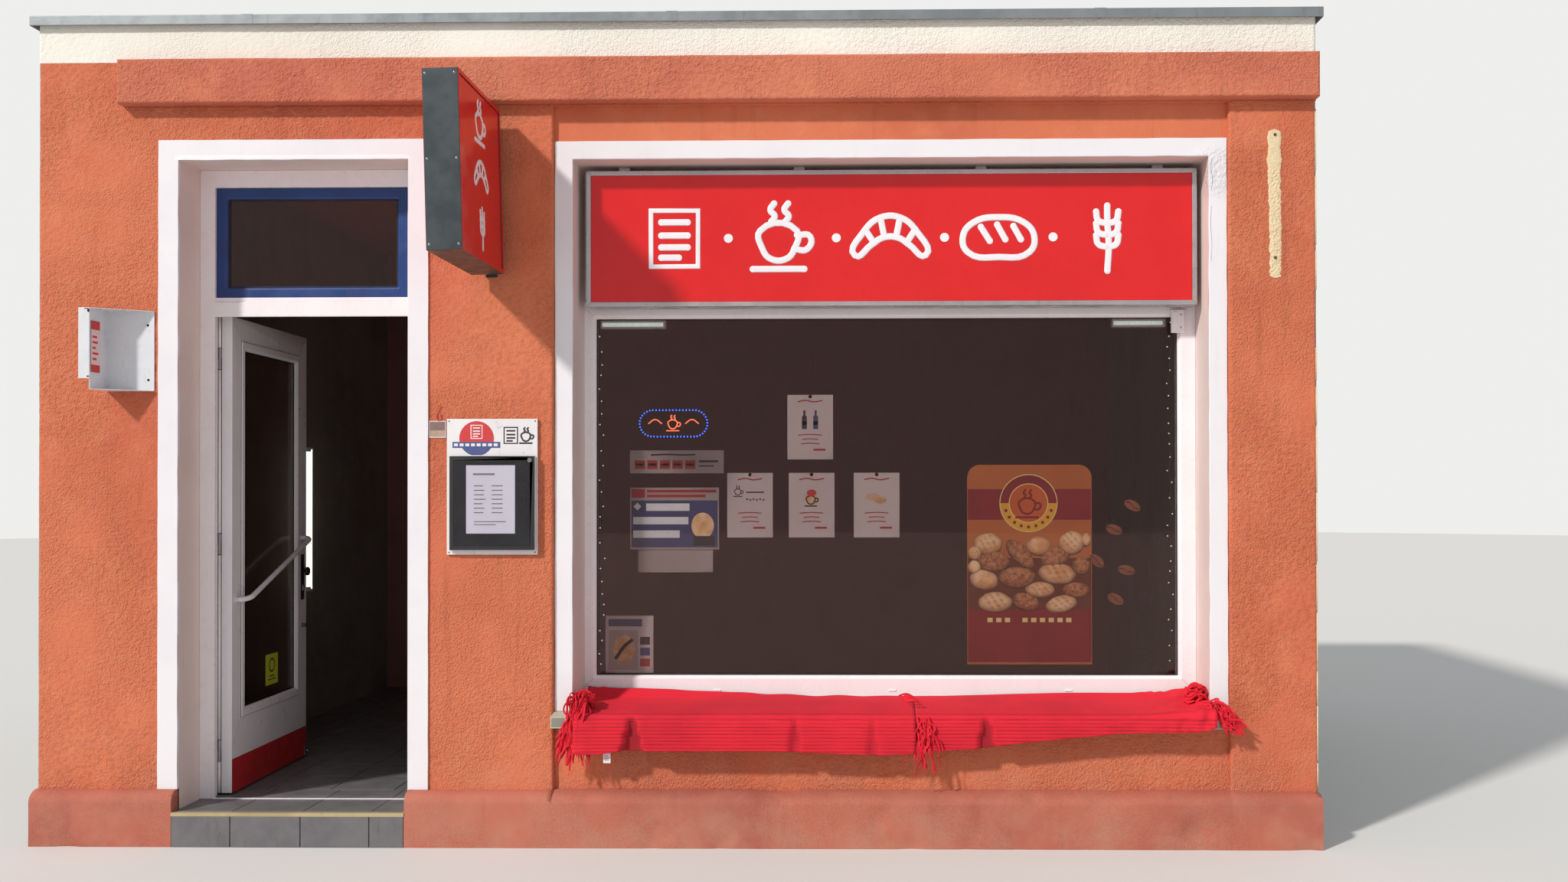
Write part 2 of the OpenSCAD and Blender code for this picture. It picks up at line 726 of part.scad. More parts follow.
module notice_board() color("white")
  block([x_door_r + board_x, y_front - board_t, board_z],
    [x_door_r + board_x + board_w, y_front, board_z + board_h]);

// A shallow locked case with a glazed front and a round lock on its top right corner
module notice_case() color("dimgray")
  translate([x_door_r + board_x + case_margin, y_front - board_t - case_d, board_z + case_foot]) {
    difference() {
      cube([case_w, case_d, case_h]);
      translate([case_rim, -lap, case_rim])
        cube([case_w - 2 * case_rim, case_pane_in + lap, case_h - 2 * case_rim]);
    }
    translate([case_w - case_rim, 0, case_h - case_rim]) rotate([90, 0, 0]) cylinder(d = cam_d, h = cam_h);
  }

// A folded sheet rack: back plate, deep left side with a flange, and tapering top and bottom plates
module wall_rack() color("gainsboro")
  translate([x_door_l - door_band_w - rack_margin - rack_w, y_front, rack_z]) {
    translate([0, -rack_t, 0]) cube([rack_w, rack_t, rack_h]);
    translate([0, -rack_d, 0]) cube([rack_t, rack_d - rack_t, rack_h]);
    translate([rack_t - rack_flange_w, -rack_d - rack_t, rack_notch])
      cube([rack_flange_w, rack_t, rack_h - rack_notch]);
    for (z = [0, rack_h - rack_t]) translate([0, 0, z]) linear_extrude(rack_t)
      polygon([[rack_t, -rack_t], [rack_w, -rack_t], [rack_w, -rack_t - rack_lip], [rack_t, -rack_d]]);
  }

module window_papers() color("ivory") for (s = sheets)
  translate([glass_x0 + s[0], y_glass_in, glass_z0 + s[1]]) cube([s[2], paper_t, s[3]]);

// The display board's top corners are round
module display_board() color("gold")
  translate([glass_x1 - display_x - display_w, y_glass_in + display_t, glass_z0 + display_foot])
    rotate([90, 0, 0]) linear_extrude(display_t) {
      square([display_w, display_h - display_r]);
      translate([display_r, 0]) square([display_w - 2 * display_r, display_h]);
      for (x = [display_r, display_w - display_r])
        translate([x, display_h - display_r]) circle(r = display_r);
    }

// The ring sign is an oval tube
module ring_sign() color("lightblue")
  translate([glass_x0 + ring_x, y_glass_in + ring_tube, win_glass_top - ring_z - ring_h]) rotate([90, 0, 0])
    linear_extrude(ring_tube) difference() {
      oval(ring_w, ring_h);
      translate([ring_tube, ring_tube]) oval(ring_w - 2 * ring_tube, ring_h - 2 * ring_tube);
    }

module oval(w, h) {
  translate([h / 2, 0]) square([w - h, h]);
  for (x = [h / 2, w - h / 2]) translate([x, h / 2]) circle(d = h);
}

// A lamp at each end of the window's top rail
module window_lamps() color("white") {
  y0 = y_glass_in + paper_t;
  z0 = win_glass_top - lamp_s;
  translate([glass_x0 + lamp_in[0], y0, z0]) cube([lamp_l[0], lamp_s, lamp_s]);
  translate([glass_x1 - lamp_in[1] - lamp_l[1], y0, z0]) cube([lamp_l[1], lamp_s, lamp_s]);
}

// The throw lies along the sill in two lengths and hangs over its nose
module sill_throw() color("crimson") {
  front = y_nose - throw_clear;
  back = y_wframe - throw_back;
  under = [front, nose_top + throw_clear];
  over = [back, sill_z(back) + throw_clear];
  foot = under.y - throw_drop;
  fold = [under, over, [over.x, over.y + throw_t], [under.x - throw_t, under.y + throw_t],
    [under.x - throw_t, foot], [under.x, foot]];
  along_x(x_win_l + throw_in[0], x_win_l + throw_split, fold);
  along_x(x_win_l + throw_split + throw_clear, x_win_r - throw_in[1], fold);
}

floor_slab();
door_step();
step_nosing();
plinth();
pier_left();
pier_middle();
pier_right();
wall_over_door();
wall_over_window();
window_apron();
party_wall_left();
party_wall_right();
rear_wall();
roof_slab();
belt_band();
parapet();
coping();
roof_covering();
door_surround();
window_surround();
door_frame();
transom_sash();
transom_glass();
door_leaf();
door_glass();
glazing_beads();
kick_plate();
pull_handle();
door_lock();
door_hinges_frame();
door_hinges_leaf();
window_frame();
window_glass();
window_sill();
fascia_sign_case();
fascia_sign_panel();
bracket_sign_case();
bracket_sign_panels();
notice_board();
notice_case();
wall_rack();
window_papers();
display_board();
ring_sign();
window_lamps();
sill_throw();
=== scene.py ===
import math
import random
import bmesh
import bpy
from mathutils import Matrix, Vector, noise


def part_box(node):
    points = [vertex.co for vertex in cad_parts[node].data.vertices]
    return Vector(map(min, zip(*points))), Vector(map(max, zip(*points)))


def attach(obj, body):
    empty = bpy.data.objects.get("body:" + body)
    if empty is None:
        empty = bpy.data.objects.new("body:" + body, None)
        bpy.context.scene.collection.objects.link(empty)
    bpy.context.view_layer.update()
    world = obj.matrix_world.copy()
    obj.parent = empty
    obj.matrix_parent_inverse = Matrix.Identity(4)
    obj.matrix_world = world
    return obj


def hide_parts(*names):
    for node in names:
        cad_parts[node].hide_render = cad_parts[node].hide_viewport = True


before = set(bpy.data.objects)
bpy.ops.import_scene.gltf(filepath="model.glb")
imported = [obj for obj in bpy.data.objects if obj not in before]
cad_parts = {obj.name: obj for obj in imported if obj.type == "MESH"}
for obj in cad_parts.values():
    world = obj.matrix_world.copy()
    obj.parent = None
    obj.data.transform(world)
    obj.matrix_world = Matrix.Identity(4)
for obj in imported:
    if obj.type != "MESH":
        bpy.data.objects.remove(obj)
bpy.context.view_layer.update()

random.seed(11)
print("frame loaded")

# Lines of the building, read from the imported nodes
pierLeft, pierMiddle, pierRight = (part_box("pier_" + side) for side in ("left", "middle", "right"))
frontY, innerY = pierLeft[0].y, pierLeft[1].y
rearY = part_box("rear_wall")[1].y
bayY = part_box("wall_over_window")[0].y
leftX, rightX = pierLeft[0].x, pierRight[1].x
doorX, windowX = (pierLeft[1].x, pierMiddle[0].x), (pierMiddle[1].x, pierRight[0].x)
bayX = tuple(corner.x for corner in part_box("window_surround"))
headZ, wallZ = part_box("wall_over_door")[0].z, pierLeft[1].z
groundBody = "building"
doorBody = "door"


# Scene: camera, light and floor

cameraSet = {
    "lens": 31.0, "sensor": 36.0, "shift": (-0.0363, 0.0257),
    "place": (0.8365, -7.9015, 1.5498), "yaw": 0.01669, "pitch": 0.00664, "roll": -0.00138,
}
lightSet = {
    "sunWay": (0.60, 0.62, -0.60), "sunPower": 2.9, "sunSoftness": 4.0, "sunTone": (1.0, 0.965, 0.92),
    "skyPower": 0.52, "skyTone": (0.93, 0.96, 1.0), "backdrop": (0.86, 0.86, 0.85), "floor": (0.72, 0.71, 0.69),
}


def makeCamera(look):
    data = bpy.data.cameras.new("Camera")
    data.lens, data.sensor_width = look["lens"], look["sensor"]
    data.shift_x, data.shift_y = look["shift"]
    data.clip_end = 200
    yaw, pitch, roll = look["yaw"], look["pitch"], look["roll"]
    right = Vector((math.cos(yaw), math.sin(yaw), 0))
    flat = Vector((-math.sin(yaw), math.cos(yaw), 0))
    ahead = math.cos(pitch) * flat + math.sin(pitch) * Vector((0, 0, 1))
    up = right.cross(ahead)
    across = math.cos(roll) * right + math.sin(roll) * up
    up = math.cos(roll) * up - math.sin(roll) * right
    camera = bpy.data.objects.new("Camera", data)
    turn = Matrix((across, up, -ahead)).transposed().to_4x4()
    camera.matrix_world = Matrix.Translation(look["place"]) @ turn
    bpy.context.collection.objects.link(camera)
    bpy.context.scene.camera = camera


def makeLights(look):
    data = bpy.data.lights.new("Key", "SUN")
    data.energy, data.angle = look["sunPower"], math.radians(look["sunSoftness"])
    data.color = look["sunTone"]
    key = bpy.data.objects.new("Key", data)
    key.rotation_euler = Vector(look["sunWay"]).to_track_quat("-Z", "Y").to_euler()
    bpy.context.collection.objects.link(key)
    world = bpy.data.worlds.new("Studio")
    bpy.context.scene.world = world
    world.use_nodes = True
    nodes, links = world.node_tree.nodes, world.node_tree.links
    sky = nodes["Background"]
    sky.inputs["Color"].default_value = (*look["skyTone"], 1)
    sky.inputs["Strength"].default_value = look["skyPower"]
    plain = nodes.new("ShaderNodeBackground")
    plain.inputs["Color"].default_value = (*look["backdrop"], 1)
    path = nodes.new("ShaderNodeLightPath")
    mixed = nodes.new("ShaderNodeMixShader")
    links.new(path.outputs["Is Camera Ray"], mixed.inputs["Fac"])
    links.new(sky.outputs[0], mixed.inputs[1])
    links.new(plain.outputs[0], mixed.inputs[2])
    links.new(mixed.outputs[0], nodes["World Output"].inputs["Surface"])


def makeFloor(look):
    bm = bmesh.new()
    bmesh.ops.create_circle(bm, cap_ends=True, segments=96, radius=45)
    mesh = bpy.data.meshes.new("StudioFloor")
    bm.to_mesh(mesh)
    bm.free()
    floor = bpy.data.objects.new("StudioFloor", mesh)
    floor.location.z = -0.0005
    bpy.context.collection.objects.link(floor)
    mat = bpy.data.materials.new("studioFloor")
    mat.use_nodes = True
    shader = mat.node_tree.nodes["Principled BSDF"]
    shader.inputs["Base Color"].default_value = (*look["floor"], 1)
    shader.inputs["Roughness"].default_value = 0.9
    mesh.materials.append(mat)


makeCamera(cameraSet)
makeLights(lightSet)
makeFloor(lightSet)
bpy.context.scene.view_settings.view_transform = "Standard"
print("camera, light and floor made")


# Tools for materials

def linear(tone):
    # a 0-255 paint tone as the renderer's colour
    parts = [c / 255 for c in tone]
    return tuple(c / 12.92 if c <= 0.04045 else ((c + 0.055) / 1.055) ** 2.4 for c in parts) + (1.0,)


def put(mat, kind, inputs=None, **settings):
    item = mat.node_tree.nodes.new("ShaderNode" + kind)
    for key, value in settings.items():
        setattr(item, key, value)
    for key, value in (inputs or {}).items():
        if isinstance(value, bpy.types.NodeSocket):
            mat.node_tree.links.new(value, item.inputs[key])
        else:
            item.inputs[key].default_value = value
    return item


def startMaterial(name):
    mat = bpy.data.materials.new(name)
    mat.use_nodes = True
    return mat


def setShader(mat, **inputs):
    shader = mat.node_tree.nodes["Principled BSDF"]
    for key, value in inputs.items():
        socket = shader.inputs[key.replace("_", " ")]
        if isinstance(value, bpy.types.NodeSocket):
            mat.node_tree.links.new(value, socket)
        else:
            socket.default_value = value
    return mat


def place(mat, scale=(1, 1, 1), turn=(0, 0, 0)):
    spot = put(mat, "TexCoord").outputs["Object"]
    return put(mat, "Mapping", {"Vector": spot, "Scale": scale, "Rotation": turn}).outputs[0]


def cloud(mat, where, scale, detail=3.0, rough=0.55, distort=0.0):
    inputs = {"Vector": where, "Scale": scale, "Detail": detail, "Roughness": rough, "Distortion": distort}
    return put(mat, "TexNoise", inputs).outputs[0]


def remap(mat, value, low, high, toLow=0.0, toHigh=1.0):
    inputs = {"Value": value, "From Min": low, "From Max": high, "To Min": toLow, "To Max": toHigh}
    return put(mat, "MapRange", inputs, interpolation_type="SMOOTHSTEP").outputs[0]


def calc(mat, how, first, second=0.0):
    return put(mat, "Math", {0: first, 1: second}, operation=how).outputs[0]


def times(mat, first, second):
    return calc(mat, "MULTIPLY", first, second)


def vectors(mat, how, first, second, out=0):
    return put(mat, "VectorMath", {0: first, 1: second}, operation=how).outputs[out]


def warped(mat, spot, scale, reach):
    # places pushed about by a noise, so that cells lose their straight sides
    push = put(mat, "TexNoise", {"Vector": spot, "Scale": scale}).outputs["Color"]
    return vectors(mat, "ADD", spot, vectors(mat, "MULTIPLY", push, (reach,) * 3))


def hollowOf(mat):
    return put(mat, "Attribute", attribute_name="hollow").outputs["Fac"]


def tint(mat, share, first, second, mode="MIX"):
    first = first if isinstance(first, bpy.types.NodeSocket) else linear(first)
    second = second if isinstance(second, bpy.types.NodeSocket) else linear(second)
    return put(mat, "Mix", {0: share, 6: first, 7: second}, data_type="RGBA", blend_type=mode).outputs[2]


def relief(mat, height, depth, strength=1.0, under=None):
    inputs = {"Height": height, "Distance": depth, "Strength": strength}
    if under is not None:
        inputs["Normal"] = under
    return put(mat, "Bump", inputs).outputs[0]


def axisOf(mat, name):
    return put(mat, "SeparateXYZ", {0: put(mat, "TexCoord").outputs["Object"]}).outputs[name]


def edgeWear(mat, radius, low=0.55, high=0.95):
    # 0 on flat faces, 1 on worn outer edges
    soft = put(mat, "Bevel", {"Radius": radius}, samples=4).outputs[0]
    sharp = put(mat, "NewGeometry").outputs["Normal"]
    bend = vectors(mat, "DOT_PRODUCT", soft, sharp, "Value")
    worn = remap(mat, bend, 0.985, 0.90)
    chips = remap(mat, cloud(mat, place(mat), 45, 4), low, high)
    return times(mat, worn, chips)


def renderFinish(name, look):
    # sprayed render: small round grains, smoother where it was trowelled, with rain streaks and splash dirt, and
    # painted shade in the grains' hollows
    mat = startMaterial(name)
    spot = place(mat)
    patch = remap(mat, cloud(mat, spot, 0.9, 3, 0.6), 0.38, 0.66)
    tone = tint(mat, patch, look["tone"], look["deep"])
    mottle = remap(mat, cloud(mat, spot, 7, 5, 0.6), 0.45, 0.75)
    tone = tint(mat, times(mat, mottle, 0.4), tone, look["pale"])
    streak = remap(mat, cloud(mat, place(mat, (9, 9, 0.7)), 1.6, 4, 0.6), 0.56, 0.78)
    tone = tint(mat, times(mat, streak, look["streaks"]), tone, look["grime"])
    height = axisOf(mat, "Z")
    splash = remap(mat, height, look["splashTop"], 0.05)
    splash = times(mat, splash, remap(mat, cloud(mat, spot, 5, 5, 0.65), 0.35, 0.7))
    tone = tint(mat, times(mat, splash, look["splash"]), tone, look["dust"])
    worked = remap(mat, cloud(mat, spot, 2.4, 2, 0.5), 0.36, 0.56, look["flatShare"], 1.0)
    flat = remap(mat, height, look["smoothFrom"], look["smoothFrom"] + 0.12, 0.0, 0.8)
    flat = times(mat, flat, remap(mat, axisOf(mat, "Y"), frontY + 0.010, frontY + 0.018))
    worked = times(mat, worked, calc(mat, "SUBTRACT", 1.0, flat))
    cells = {"Vector": warped(mat, spot, look["peel"] * 0.7, look["warp"]), "Scale": look["peel"], "Smoothness": 0.8}
    peel = put(mat, "TexVoronoi", cells, feature="SMOOTH_F1").outputs[0]
    peel = times(mat, remap(mat, peel, 0.08, 0.78), 0.65)
    peel = calc(mat, "ADD", peel, remap(mat, cloud(mat, spot, look["peel"] * 0.6, 2.0, 0.5), 0.7, 0.25, 0.0, 0.35))
    peel = times(mat, peel, worked)
    # painted shade: the grains' hollows, from the peel and from the mesh's shade mask, darkened with the grime colour
    carvedShade = times(mat, hollowOf(mat), look["carvedShade"])
    hollow = calc(mat, "ADD", times(mat, peel, look["pitShade"]), carvedShade)
    tone = tint(mat, hollow, tone, look["grime"])
    fine = cloud(mat, spot, 260, 2, 0.5)
    bumps = relief(mat, fine, 0.0006, 0.35, relief(mat, peel, -look["grain"], 1.0))
    dull = remap(mat, cloud(mat, spot, 12, 3), 0.3, 0.7, look["rough"] - 0.06, look["rough"] + 0.06)
    return setShader(mat, Base_Color=tone, Roughness=dull, Normal=bumps)


def plasterFinish(name, look):
    # smooth painted plaster: faint haze, brush lines, a little grime down the face and small pocks
    mat = startMaterial(name)
    spot = place(mat)
    haze = remap(mat, cloud(mat, spot, 3.2, 4, 0.6), 0.4, 0.72)
    tone = tint(mat, times(mat, haze, 0.5), look["tone"], look["shade"])
    flow = remap(mat, cloud(mat, place(mat, (12, 12, 1.0)), 2.2, 5, 0.6), 0.58, 0.8)
    tone = tint(mat, times(mat, flow, look["grimeShare"]), tone, look["grime"])
    cells = {"Vector": warped(mat, spot, 30.0, 0.02), "Scale": 44.0}
    web = put(mat, "TexVoronoi", cells, feature="DISTANCE_TO_EDGE").outputs[0]
    away, reach = vectors(mat, "DISTANCE", spot, look["crazeSpot"], "Value"), look["crazeReach"]
    craze = times(mat, remap(mat, web, 0.05, 0.0), remap(mat, away, reach, reach * 0.5))
    near = remap(mat, away, reach, reach * 0.4)
    tone = tint(mat, times(mat, craze, 0.25), tone, look["grime"])
    brush = cloud(mat, place(mat, (1, 1, 0.12)), 120, 3, 0.5)
    lumps = cloud(mat, spot, 26, 3, 0.5)
    bumps = relief(mat, brush, 0.0005, 0.4, relief(mat, lumps, 0.0009, 0.5))
    bumps = relief(mat, times(mat, cloud(mat, spot, 70, 4, 0.6), near), 0.010, 1.0, bumps)
    return setShader(mat, Base_Color=tone, Roughness=look["rough"], Normal=bumps)


def paintFinish(name, tone, shade, dirt, rough, **look):
    # paint, plastic, sheet or ink: slight tone shifts, dirt, worn edges and a faint skin
    mat = startMaterial(name)
    spot = place(mat)
    haze = remap(mat, cloud(mat, spot, look.get("hazeScale", 4.0), 4, 0.6), 0.36, 0.72)
    tone = tint(mat, times(mat, haze, 0.6), tone, shade)
    runs = remap(mat, cloud(mat, place(mat, (5, 5, 1.2)), 6, 5, 0.65), 0.55, 0.78)
    tone = tint(mat, times(mat, runs, dirt), tone, look.get("grime", (96, 84, 72)))
    if "worn" in look:
        tone = tint(mat, edgeWear(mat, look.get("wearWidth", 0.004)), tone, look["worn"])
    dull = remap(mat, cloud(mat, spot, 14, 4), 0.3, 0.7, max(0.03, rough - 0.07), rough + 0.09)
    skin = cloud(mat, place(mat, look.get("skinWay", (1, 1, 1))), look.get("skinScale", 240), 2, 0.5)
    bumps = relief(mat, skin, look.get("skin", 0.0003), 0.5)
    return setShader(mat, Base_Color=tone, Roughness=dull, Normal=bumps, Metallic=look.get("metal", 0.0))


def breadFinish(name, look):
    # baked crust with seeds, with painted shade from the attribute: darker towards its rim and underside and in its
    # cuts, so that its top reads pale
    mat = startMaterial(name)
    spot = place(mat)
    tone = tint(mat, remap(mat, cloud(mat, spot, look["grain"], 4, 0.6), 0.36, 0.66), look["tone"], look["shade"])
    seeds = remap(mat, cloud(mat, spot, 110, 3, 0.6), 0.50, 0.64)
    tone = tint(mat, times(mat, seeds, look["seed"]), tone, look["deep"])
    # painted shade in the deep colour, which also colours the seeds
    tone = tint(mat, hollowOf(mat), tone, look["deep"])
    bumps = relief(mat, cloud(mat, spot, 90, 3), 0.002, 0.6)
    return setShader(mat, Base_Color=tone, Roughness=0.6, Normal=bumps)


def glassFinish(name, tone, rough, gleam, clear=1.0, alpha=1.0):
    mat = startMaterial(name)
    smear = remap(mat, cloud(mat, place(mat, (1, 1, 0.35)), 3.2, 4, 0.6), 0.42, 0.8, rough, rough + 0.05)
    return setShader(mat, Base_Color=linear(tone), Roughness=smear, IOR=1.46, Specular_Tint=linear(gleam),
                     Transmission_Weight=clear, Alpha=alpha)


def softenEdges(item, width, angle, harden=True):
    bevel = item.modifiers.new("Bevel", "BEVEL")
    bevel.width, bevel.segments, bevel.limit_method = width, 2, "ANGLE"
    bevel.angle_limit, bevel.harden_normals = math.radians(angle), harden


def easeEdges(nodeName, width):
    # a CAD node's triangles are welded and its edges rounded by modifiers alone
    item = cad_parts[nodeName]
    item.modifiers.new("Weld", "WELD").merge_threshold = 0.00005
    softenEdges(item, width, 35)


def dress(nodeName, mat, ease=0.0):
    # gives a CAD node its material, and rounds its edges where ease is set
    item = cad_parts[nodeName]
    item.data.materials.clear()
    item.data.materials.append(mat)
    if ease:
        easeEdges(nodeName, ease)
    return item


# Tools for pieces

upright = Matrix.Rotation(math.radians(90), 4, "X")


def faceOut(bm):
    bmesh.ops.recalc_face_normals(bm, faces=bm.faces)
    return bm


def finishPiece(bm, name, mats, replaces=(), smooth=None, body=groundBody):
    # makes the object, sets what carries it, and hides the nodes that it stands for
    mesh = bpy.data.meshes.new(name)
    bm.to_mesh(mesh)
    bm.free()
    for mat in mats:
        mesh.materials.append(mat)
    if smooth is not None:
        mesh.shade_smooth()
        mesh.set_sharp_from_angle(angle=math.radians(smooth))
    item = bpy.data.objects.new(name, mesh)
    bpy.context.collection.objects.link(item)
    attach(item, body)
    if replaces:
        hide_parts(*replaces)
    return item


def paintFaces(verts, material, smooth=False):
    for face in {f for v in verts for f in v.link_faces}:
        face.material_index, face.smooth = material, smooth


def joinInto(bm, part):
    mesh = bpy.data.meshes.new("part")
    part.to_mesh(mesh)
    part.free()
    bm.from_mesh(mesh)
    bpy.data.meshes.remove(mesh)


def standGrid(bm, x, z, y, count):
    # a grid in the XZ plane that faces the viewer
    turn = Matrix.Translation((sum(x) / 2, y, sum(z) / 2)) @ Matrix.Diagonal((x[1] - x[0], 1, z[1] - z[0], 1)) @ upright
    return bmesh.ops.create_grid(bm, x_segments=count[0], y_segments=count[1], size=0.5, matrix=turn)["verts"]


def addBlock(bm, low, high, material=0, bevel=0.0, segments=2):
    low, high = Vector(low), Vector(high)
    turn = Matrix.Translation((low + high) / 2) @ Matrix.Diagonal((*(high - low), 1))
    made = bmesh.ops.create_cube(bm, size=1, matrix=turn)["verts"]
    paintFaces(made, material)
    if bevel:
        edges = list({e for v in made for e in v.link_edges})
        bmesh.ops.bevel(bm, geom=edges, offset=bevel, affect="EDGES", segments=segments, profile=0.5, material=-1)
    return made


def addPeg(bm, start, end, radius, segments=16, material=0, tip=None):
    start, end = Vector(start), Vector(end)
    way = end - start
    turn = Matrix.Translation((start + end) / 2) @ way.to_track_quat("Z", "Y").to_matrix().to_4x4()
    made = bmesh.ops.create_cone(bm, cap_ends=True, segments=segments, radius1=radius,
                                 radius2=radius if tip is None else tip, depth=way.length, matrix=turn)["verts"]
    for face in {f for v in made for f in v.link_faces}:
        face.material_index = material
        face.smooth = len(face.verts) == 4
    return made


def copyOf(nodeName):
    # a CAD node's mesh, merged and with its flat faces joined, ready to be worked
    bm = bmesh.new()
    bm.from_mesh(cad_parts[nodeName].data)
    bmesh.ops.remove_doubles(bm, verts=bm.verts, dist=0.00005)
    bmesh.ops.dissolve_limit(bm, angle_limit=math.radians(1), verts=bm.verts, edges=bm.edges)
    return bm


def sliceUp(bm, axis, cell):
    # cuts the whole mesh at even steps along an axis
    places = [v.co[axis] for v in bm.verts]
    low, high = min(places), max(places)
    count = max(1, round((high - low) / cell))
    normal = Vector((0, 0, 0))
    normal[axis] = 1
    for k in range(1, count):
        point = normal * (low + (high - low) * k / count)
        geom = bm.verts[:] + bm.edges[:] + bm.faces[:]
        bmesh.ops.bisect_plane(bm, geom=geom, plane_co=point, plane_no=normal, dist=0.00001)


# Rendered walls

# pitShade and carvedShade set how much painted shade darkens the coat's hollows
wallLook = {
    "tone": (214, 119, 82), "deep": (200, 103, 72), "pale": (226, 137, 99), "grime": (118, 50, 36),
    "dust": (184, 130, 108), "streaks": 0.20, "splashTop": 0.62, "splash": 0.40, "grain": 0.0042, "rough": 0.86,
    "peel": 132.0, "warp": 0.007, "pitShade": 0.20, "flatShare": 0.4, "carvedShade": 0.16, "smoothFrom": 2.90,
}
plinthLook = dict(wallLook, tone=(188, 108, 88), deep=(170, 92, 76), pale=(198, 124, 104), grain=0.0008, splash=0.7,
                  splashTop=0.3, pitShade=0.25, flatShare=0.2)
beltLook = dict(wallLook, tone=(212, 122, 92), deep=(199, 107, 82), smoothFrom=9.0)
stripLook = dict(wallLook, tone=(244, 240, 230), deep=(236, 231, 220), pale=(246, 243, 236), grime=(150, 140, 126),
                 dust=(190, 186, 176), streaks=0.14, grain=0.0026, peel=140.0, pitShade=0.08, carvedShade=0.05,
                 smoothFrom=9.0)
partyLook = dict(wallLook, tone=(150, 146, 140), deep=(132, 128, 122), pale=(164, 160, 152), grime=(98, 94, 88),
                 dust=(128, 120, 110), grain=0.003)
revealLook = {"tone": (230, 211, 205), "shade": (220, 198, 190), "grime": (150, 124, 110), "grimeShare": 0.12,
              "crazeSpot": (2.395, bayY, 2.945), "crazeReach": 0.15, "rough": 0.6}
bandLook = dict(revealLook, tone=(233, 230, 234), shade=(225, 221, 226), grime=(140, 132, 130), grimeShare=0.06)
roomLook = dict(revealLook, tone=(150, 104, 98), shade=(132, 90, 84), grime=(70, 52, 48), grimeShare=0.2, rough=0.8)
reliefSet = {"cell": 0.0068, "rearCell": 0.024, "depth": 0.0020, "swell": 0.0022, "grainScale": 62, "swellScale": 2.6,
             "round": 0.011, "smooth": (2.90, 3.24), "scar": (2.575, 2.985, 0.13, 0.11), "scarRise": 0.0042}
# shading stays smooth over edges that bend less than this
coatAngle = 66

wallMat = renderFinish("terracottaRender", wallLook)
plinthMat = renderFinish("plinthRender", plinthLook)
beltMat = renderFinish("beltRender", beltLook)
stripMat = renderFinish("whiteRoughcast", stripLook)
partyMat = renderFinish("partyWallRender", partyLook)
revealMat = plasterFinish("revealPaint", revealLook)
bandMat = plasterFinish("bandPaint", bandLook)
roomMat = plasterFinish("roomPlaster", roomLook)
print("wall materials made")


def hollowAt(x, z, look, far=0.0):
    # 0 on the tops of the sprayed coat, 1 at the bottom of its hollows
    spot = Vector((x * look["grainScale"] * 0.8, far, z * look["grainScale"]))
    value = noise.noise(spot) + 0.20 * noise.noise(spot * 1.5 + Vector((3, 8, 1)))
    share = min(1.0, max(0.0, (0.24 - value) / 0.75))
    worked = min(1.0, max(0.3, 0.8 + 1.1 * noise.noise(Vector((x * 1.6, far + 4, z * 1.6)))))
    if bayX[0] < x < bayX[1] and look["smooth"][0] < z < look["smooth"][1]:
        worked *= max(0.15, 1 - (z - look["smooth"][0]) / 0.1)
    return share * share * (3 - 2 * share) * worked


def scarAt(x, z, look):
    # trowel drags and lumps of mortar round the filled chase: how far they are sunk, 0 at their tops
    offset = math.hypot((x - look["scar"][0]) / look["scar"][2], (z - look["scar"][1]) / look["scar"][3])
    if offset >= 1.6:
        return 0.0
    zone = min(1.0, 1.6 - offset)
    lump = noise.noise(Vector((x * 46 + z * 18, 3, z * 40))) + 0.5 * noise.noise(Vector((x * 95, 7, z * 95)))
    return look["scarRise"] * zone * (1 - min(1.0, max(0.0, lump * 2.2 - 0.25)) * min(1.0, max(0.0, 1.3 - offset)))


def swellAt(x, z, look, far=0.0):
    spot = Vector((x * look["swellScale"], far + 9, z * look["swellScale"]))
    return look["swell"] * (0.5 + 0.5 * noise.noise(spot))


def addPanel(bm, x, z, face, back, cell, look, far=0.0, free="", turned=False):
    # a dense grid that faces out, with its rim run back to a plain rear face; free edges are rounded
    hollow = bm.verts.layers.float.get("hollow") or bm.verts.layers.float.new("hollow")
    count = [max(1, round((high - low) / cell)) for low, high in (x, z)]
    out = 1 if face > back else -1
    made = standGrid(bm, x, z, face, count)
    for v in made:
        px, pz = v.co.x, v.co.z
        near = [px - x[0] if "L" in free else 1, x[1] - px if "R" in free else 1,
                pz - z[0] if "B" in free else 1, z[1] - pz if "T" in free else 1]
        edge = max(0.0, 1 - min(near) / look["round"])
        wave = 0.003 * edge * (0.5 + 0.5 * noise.noise(Vector((px * 4, 2, pz * 4))))
        if edge > 0:
            side = near.index(min(near))
            v.co.x += (wave, -wave, 0, 0)[side]
            v.co.z += (0, 0, wave, -wave)[side]
        deep = hollowAt(px, pz, look, far)
        # the depth of the hollows is kept as the mask of their painted shade
        v[hollow] = deep
        sunk = look["depth"] * deep + swellAt(px, pz, look, far) + 0.7 * look["round"] * edge * edge
        v.co.y -= out * (sunk + (scarAt(px, pz, look) if far == 0 else 0))
    rim = [e for e in {e for v in made for e in v.link_edges} if e.is_boundary]
    for step in (0.002, None):
        pulled = bmesh.ops.extrude_edge_only(bm, edges=rim)["geom"]
        ring = [g for g in pulled if isinstance(g, bmesh.types.BMVert)]
        for v in ring:
            v.co.y = v.co.y - out * step if step else back
            v[hollow] = 0
        made = made + ring
        rim = [g for g in pulled if isinstance(g, bmesh.types.BMEdge) and g.is_boundary]
    bmesh.ops.contextual_create(bm, geom=rim)
    if turned:
        for v in made:
            v.co.x, v.co.y = v.co.y, v.co.x


